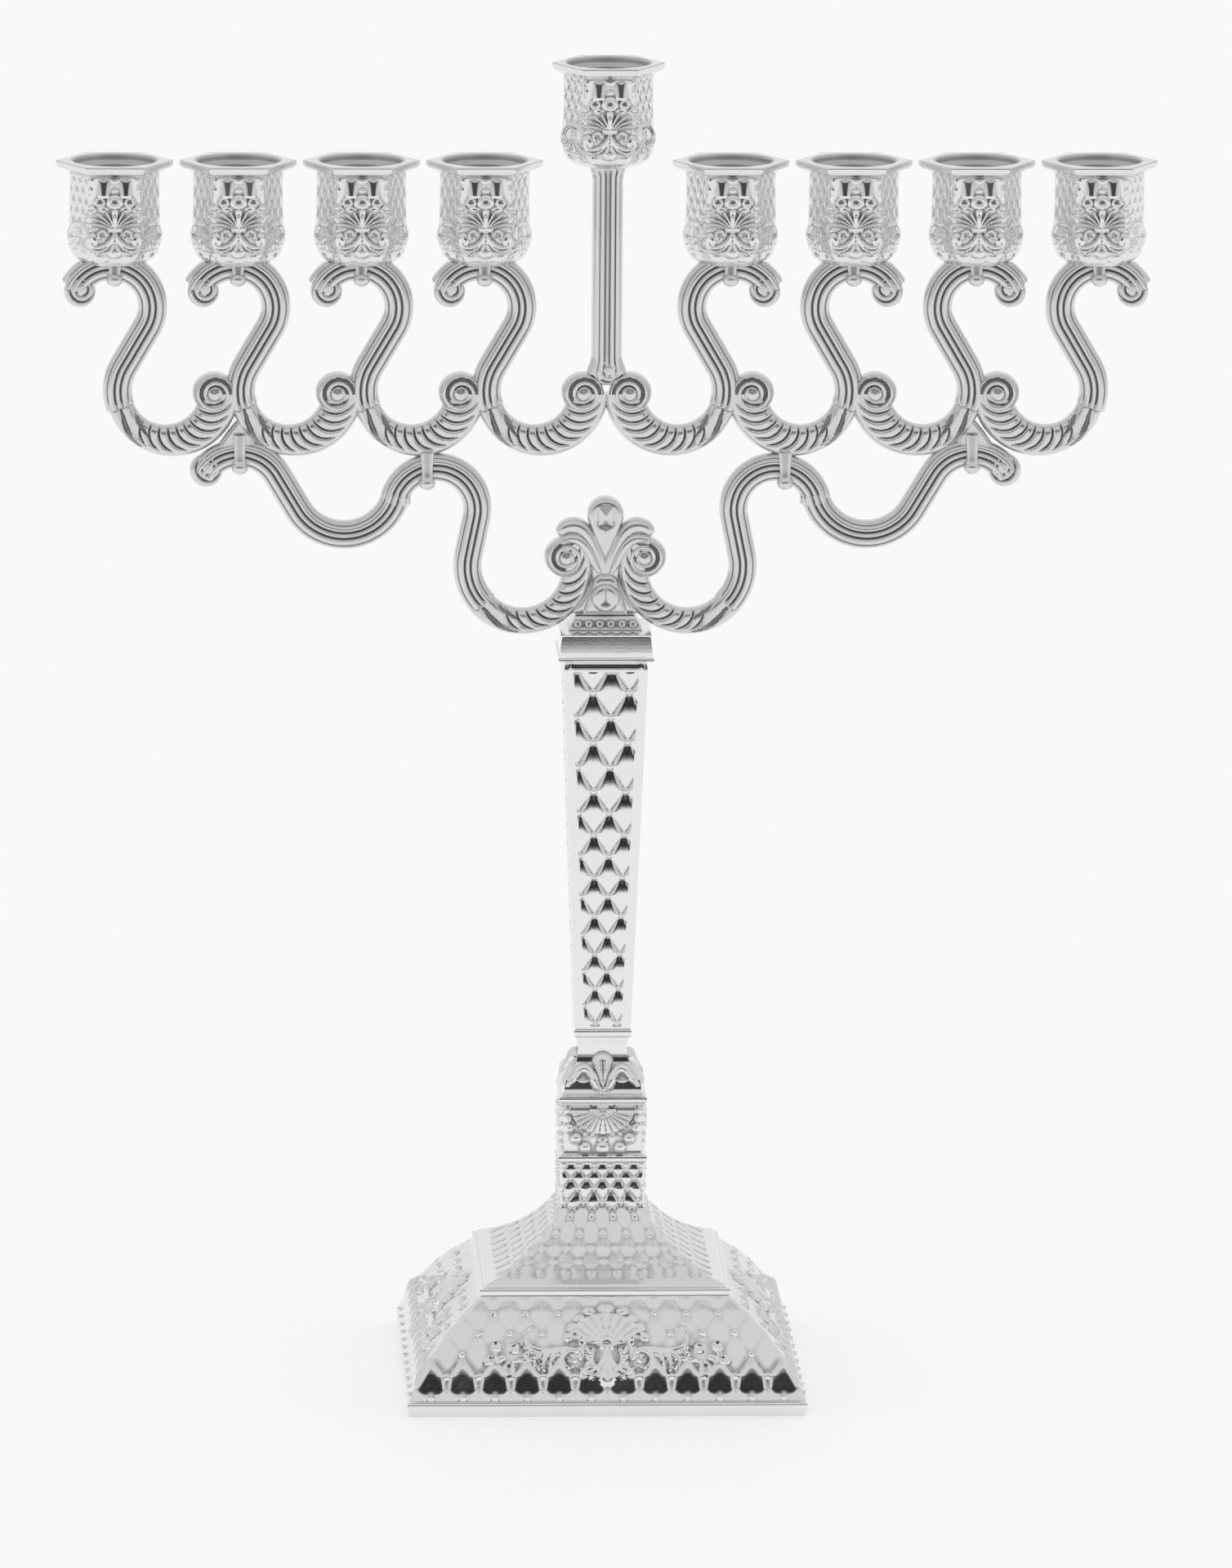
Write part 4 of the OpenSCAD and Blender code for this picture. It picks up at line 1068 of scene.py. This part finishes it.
def cup_front(u, v):
    """The ornament on the front and the back of a cup: u across, v up from its underside."""
    swollen = swell((v - 21.1) / 2.7, 10) * (1 - 0.14 * (v - 18.7))
    posts = np.clip(1 - ((np.abs(u) - 2.95) / 1.75) ** 2, 0, 1) ** 0.7
    h = np.maximum(0.22, 1.25 * swollen * posts)
    u = u / 1.2
    h = raised(h, 0.75, dome, u, v, ((0, 23.3, 1.2, 1), (5.6, 23.2, 1.1, 1)), power=0.7)
    h = raised(h, 0.6, dome, u, v, ((5.6, 20.6, 0.9, 1.2), (0, 20.7, 0.8, 0.7)), power=0.7)
    h = raised(h, 1.05, cupped, u, v, ((0, 17.6, 2), (3.3, 17.5, 1.4), (5.2, 15.5, 1.2), (6.6, 13.3, 1)),
               hollow=0.55, depth=0.85)
    h = raised(h, 0.6, cupped, u, v, [(2.45, 15.8, 1.25, 0.55)])
    # ribs that spread from a tie, and a lily in the middle of them
    for degrees, length in ((21, 5.3), (40, 5.8), (58, 6.3), (76, 6.6)):
        tip = polar((0, 9.9), length, 90 - degrees)
        middle = polar((0, 9.9), length * 0.55, 90 - degrees * 0.85)
        h = sprays(h, u, v, [(0.85, (0.12, 0.33, 0.4), [(0.1, 10), middle, tip])], 8)
    lily = 0.95 * stroke(u, v, [(0, 10.3), (0, 15)], (0.3, 0.95))
    lily = lily - 0.45 * dome(u, v, 0, 14.5, 0.5, 1, power=1)
    tie = 0.95 * band(u, v, 1.75, 10.1, 0.7) - 0.35 * groove(v, 10.1, 0.16) * (np.abs(u) < 1.4)
    h = np.maximum(h, np.maximum(lily, tie))
    h = sprays(h, u, v, (
        (0.85, (0.4, 0.5, 0.3), [(0.1, 9.2), (0.9, 7.6), (2.2, 6.1), (3.8, 5.5), (5, 6), (5.3, 7)]),
        (0.7, (0.3, 0.4, 0.2), [(0.1, 8.1), (1, 6.5), (2.4, 5), (4, 4.5), (5.6, 5.2)]),
        (0.75, (0.32, 0.36, 0.25), [(1.6, 9), (2.6, 10), (3.6, 9.2), (3.4, 7.9), (2.6, 7.9)]),
        (0.75, (0.3, 0.4, 0.25), [(3.9, 10.6), (5.3, 10.2), (5.7, 8.9), (5, 7.9), (4.3, 8.6)]),
        (0.55, (0.2, 0.3, 0.25), [(0.3, 4.1), (1.8, 4.3), (3.6, 3.9), (5.6, 4.2)])), 14)
    drop = np.maximum(dome(u, v, 0, 4.1, 1.6, 1.5), stroke(u, v, [(0, 7.8), (0, 4.6)], (0.25, 1.35)))
    h = np.maximum(h, drop - 0.6 * stroke(u, v, [(0, 6.9), (0, 4.9)], (0.15, 0.55)))
    return raised(h, 0.7, dome, u, v, [(3.3, 2.2, 2.3, 1.5)], power=0.7)


def cup_side(u, v):
    """The ornament on the other four sides: scales above a pair of scrolls."""
    scales = 0.15 + 0.35 * pillows(u / 3.3, (v - 14) / 5.4, 0.3, 1.7, 2)
    h = sprays(np.where(v > 10.4, scales, 0.05), u, v, (
        (0.8, (0.5, 0.75, 0.35), [(0, 11.2), (2, 11), (3.9, 9.9), (4.9, 8), (4.2, 6.5), (3, 7)]),
        (0.65, (0.4, 0.55, 0.25), [(0.2, 8.8), (1.4, 6.4), (3.2, 5), (5.4, 4.8)]),
        (0.5, (0.3, 0.4, 0.25), [(0, 3.4), (2, 3.9), (4.6, 3.3)])), 14)
    h = np.maximum(h, 0.75 * cupped(u, v, 0, 8.4, 1.4, 1.9))
    h = np.maximum(h, 0.7 * dome(u, v, 0, 4.9, 1, 1.6))
    return raised(h, 0.6, dome, u, v, [(2.8, 2.1, 2.1, 1.3)], power=0.7)


def cup_outside(profile, rim, height):
    """The six faces of a cup through (radius, z) points, and how strongly the painted shade in each column's
    hollows is laid on.
    """
    r, z = profile[:, :1], profile[:, 1:]
    d = directions(profile)
    on = ease(z, 0.6, 1.4) * (1 - ease(z, height - 3.6, height - 3)) * (r < rim - 1.5)
    faces, weight = [], []
    for k in range(6):
        ornate = k % 3 == 0
        c = np.linspace(-1, 1, 66 if ornate else 38, endpoint=False)[None]
        # painted shade in the hollows: full on the ornate faces, 0.35 of it on the others
        weight += [1 if ornate else 0.35] * c.size
        u, v = r * c / 2, z + 0 * c
        if ornate:
            ornament = cup_front(u, v)
        else:
            ornament = np.maximum(cup_side(u, v), cup_front(u + (r if k % 3 == 1 else -r), v))
        ear = raised(0 * u, 0.9, dome, u, v, [(6.3, 7.3, 2, 2.3)], power=0.6)
        ear = ear - raised(0 * u, 0.5, dome, u, v, [(6.3, 6.6, 0.8, 1.3)], power=1)
        ornament = np.maximum(ornament, ear) * on
        rounding = 0.55 * np.abs(c) ** 8 * (z < height - 3)
        out = r * math.cos(math.pi / 6) - rounding + ornament * d[:, 1:]
        angle = math.radians(60 * k - 90)
        ca, sa = math.cos(angle), math.sin(angle)
        faces.append(np.stack([out * ca - u * sa, out * sa + u * ca, v - ornament * d[:, :1]], -1))
    return np.concatenate(faces, 1), np.array(weight)


def cup(rim, height):
    """A six-sided cup: its ornamented outside up over the rim and down into the socket."""
    profile = [(9, 0), (9.35, 0.15), (10.5, 1.1), (11.4, 2.2), (12.1, 3.7), (12.4, 5.4), (12.4, 7.2),
               (12.15, 10), (12, 18)]
    profile += lifted(height, (11.95, -3.9), (12.15, -3.3), (12.9, -2.7), (rim - 1.1, -2.15),
                      (rim - 0.5, -1.85), (rim - 0.45, -1.5), (rim - 0.05, -1.35), (rim, -1.1), (rim, -0.3),
                      (rim - 0.12, -0.08), (rim - 0.4, 0))
    outer, weight = cup_outside(stretches(([(0.3, 0), (8.5, 0)], 2.5), (profile, 0.22)), rim, height)
    mouth = lifted(height, (11.5, 0), (11.2, -0.08), (11, -0.35), (10.95, -2), (10.7, -2.25), (9.95, -2.35),
                   (9.78, -2.6), (9.75, -4))
    floor = [(9.6, 3.8), (9.2, 3.45), (8, 3.4), (3.3, 3.4), (3, 3.2), (3, 1.4)]
    inside = stretches((mouth, 0.5), ([(9.75, height - 5), (9.75, 4.4)], 2), (floor, 1.5))
    angle = np.arctan2(outer[-1, :, 1], outer[-1, :, 0])
    r, z = inside[:, :1], inside[:, 1:]
    inner = np.stack([r * np.cos(angle), r * np.sin(angle), z + 0 * angle], -1)
    ledge = [outer[-1] + (inner[0] - outer[-1]) * t for t in np.linspace(0, 1, 10)[1:-1]]
    P = np.concatenate([outer, np.array(ledge), inner])
    # the inside is satin: rougher, and darkened a little as painted shade
    satin = np.zeros((len(P), 1))
    satin[len(outer) + len(ledge):] = 1
    return Shape(P, full=0.3, satin=satin, weight=weight)


def make_cups():
    low, high = span("candle_cup_1")
    height = high[2] - low[2]
    row, middle = cup(15.5, height), cup(14.9, height)
    for n in range(1, 9):
        low, high = span(f"candle_cup_{n}")
        row.make(f"look_candle_cup_{n}", CUP_SILVER, [f"candle_cup_{n}"], "cup_silver",
                 ((low[0] + high[0]) / 2, 0, low[2]))
    middle.make("look_shamash_cup", CUP_SILVER, ["shamash_cup"], "cup_silver",
                (0, 0, span("shamash_cup")[0][2]))


# ---------------- fixings, stage, light, camera

def finish_fixings():
    """The CAD's own fixings keep their shapes and get their steel."""
    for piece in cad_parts.values():
        if piece.data.materials:
            for i in range(len(piece.data.materials)):
                piece.data.materials[i] = STEEL
        else:
            piece.data.materials.append(STEEL)


def make_floor():
    me = bpy.data.meshes.new("floor")
    reach = 6
    corners = [(-reach, -reach, 0), (reach, -reach, 0), (reach, reach, 0), (-reach, reach, 0)]
    me.from_pydata(corners, [], [(0, 1, 2, 3)])
    floor = bpy.data.objects.new("floor", me)
    bpy.context.scene.collection.objects.link(floor)
    m, nt, bsdf = new_material("floor_white")
    fill(nt, bsdf, {"Base Color": 0.9, "Roughness": 0.9, "Emission Color": 1, "Emission Strength": 0.31})
    me.materials.append(m)


def make_world():
    """A white studio with a grey ceiling and, low in front, its unlit end."""
    world = bpy.data.worlds.new("studio")
    bpy.context.scene.world = world
    world.use_nodes = True
    nt = world.node_tree
    split = nt.nodes.new("ShaderNodeSeparateXYZ")
    fill(nt, split, {0: add(nt, "ShaderNodeTexCoord", "Generated")})
    x, y, z = split.outputs
    walls = ramp(nt, z, (0, 0.62), (0.3, 0.72), (0.62, 0.72), (1, 0.68))
    dark_rows = ramp(nt, z, (0, 0.75), (0.04, 0.22), (0.12, 0.02), (0.24, 0.04), (0.36, 0.3), (0.5, 0.74))
    behind = ramp(nt, y, (0.7, 0), (0.95, 1))
    walls = blend_of(nt, behind, walls, 0.86)
    across = maths(nt, "ABSOLUTE", x)
    front = maths(nt, "MULTIPLY", ramp(nt, across, (0.42, 1), (0.62, 0)), maths(nt, "LESS_THAN", y, 0))
    fill(nt, nt.nodes["Background"], {"Color": blend_of(nt, front, walls, dark_rows), "Strength": 1})


def make_camera():
    """A long lens a little to the left of the middle and above the cups."""
    distance, height, left = 3.573, 0.8996, 2.523
    yaw, pitch, roll = left + 0.054, 11.68, 0.43
    cam = bpy.data.cameras.new("camera")
    cam.sensor_width, cam.lens, cam.clip_end = 36, 313.2, 100
    eye = bpy.data.objects.new("camera", cam)
    bpy.context.scene.collection.objects.link(eye)
    t, a, p = math.radians(left), math.radians(yaw), math.radians(pitch)
    eye.location = (-distance * math.sin(t), -distance * math.cos(t), height)
    look = Vector((math.sin(a) * math.cos(p), math.cos(a) * math.cos(p), -math.sin(p)))
    eye.rotation_mode = "QUATERNION"
    eye.rotation_quaternion = Quaternion(look, -math.radians(roll)) @ look.to_track_quat("-Z", "Y")
    bpy.context.scene.camera = eye


make_tiers()
make_pad()
make_arms()
make_clips()
bracket()
make_cups()
finish_fixings()
make_floor()
make_world()
make_camera()
bpy.context.scene.view_settings.view_transform = "Standard"
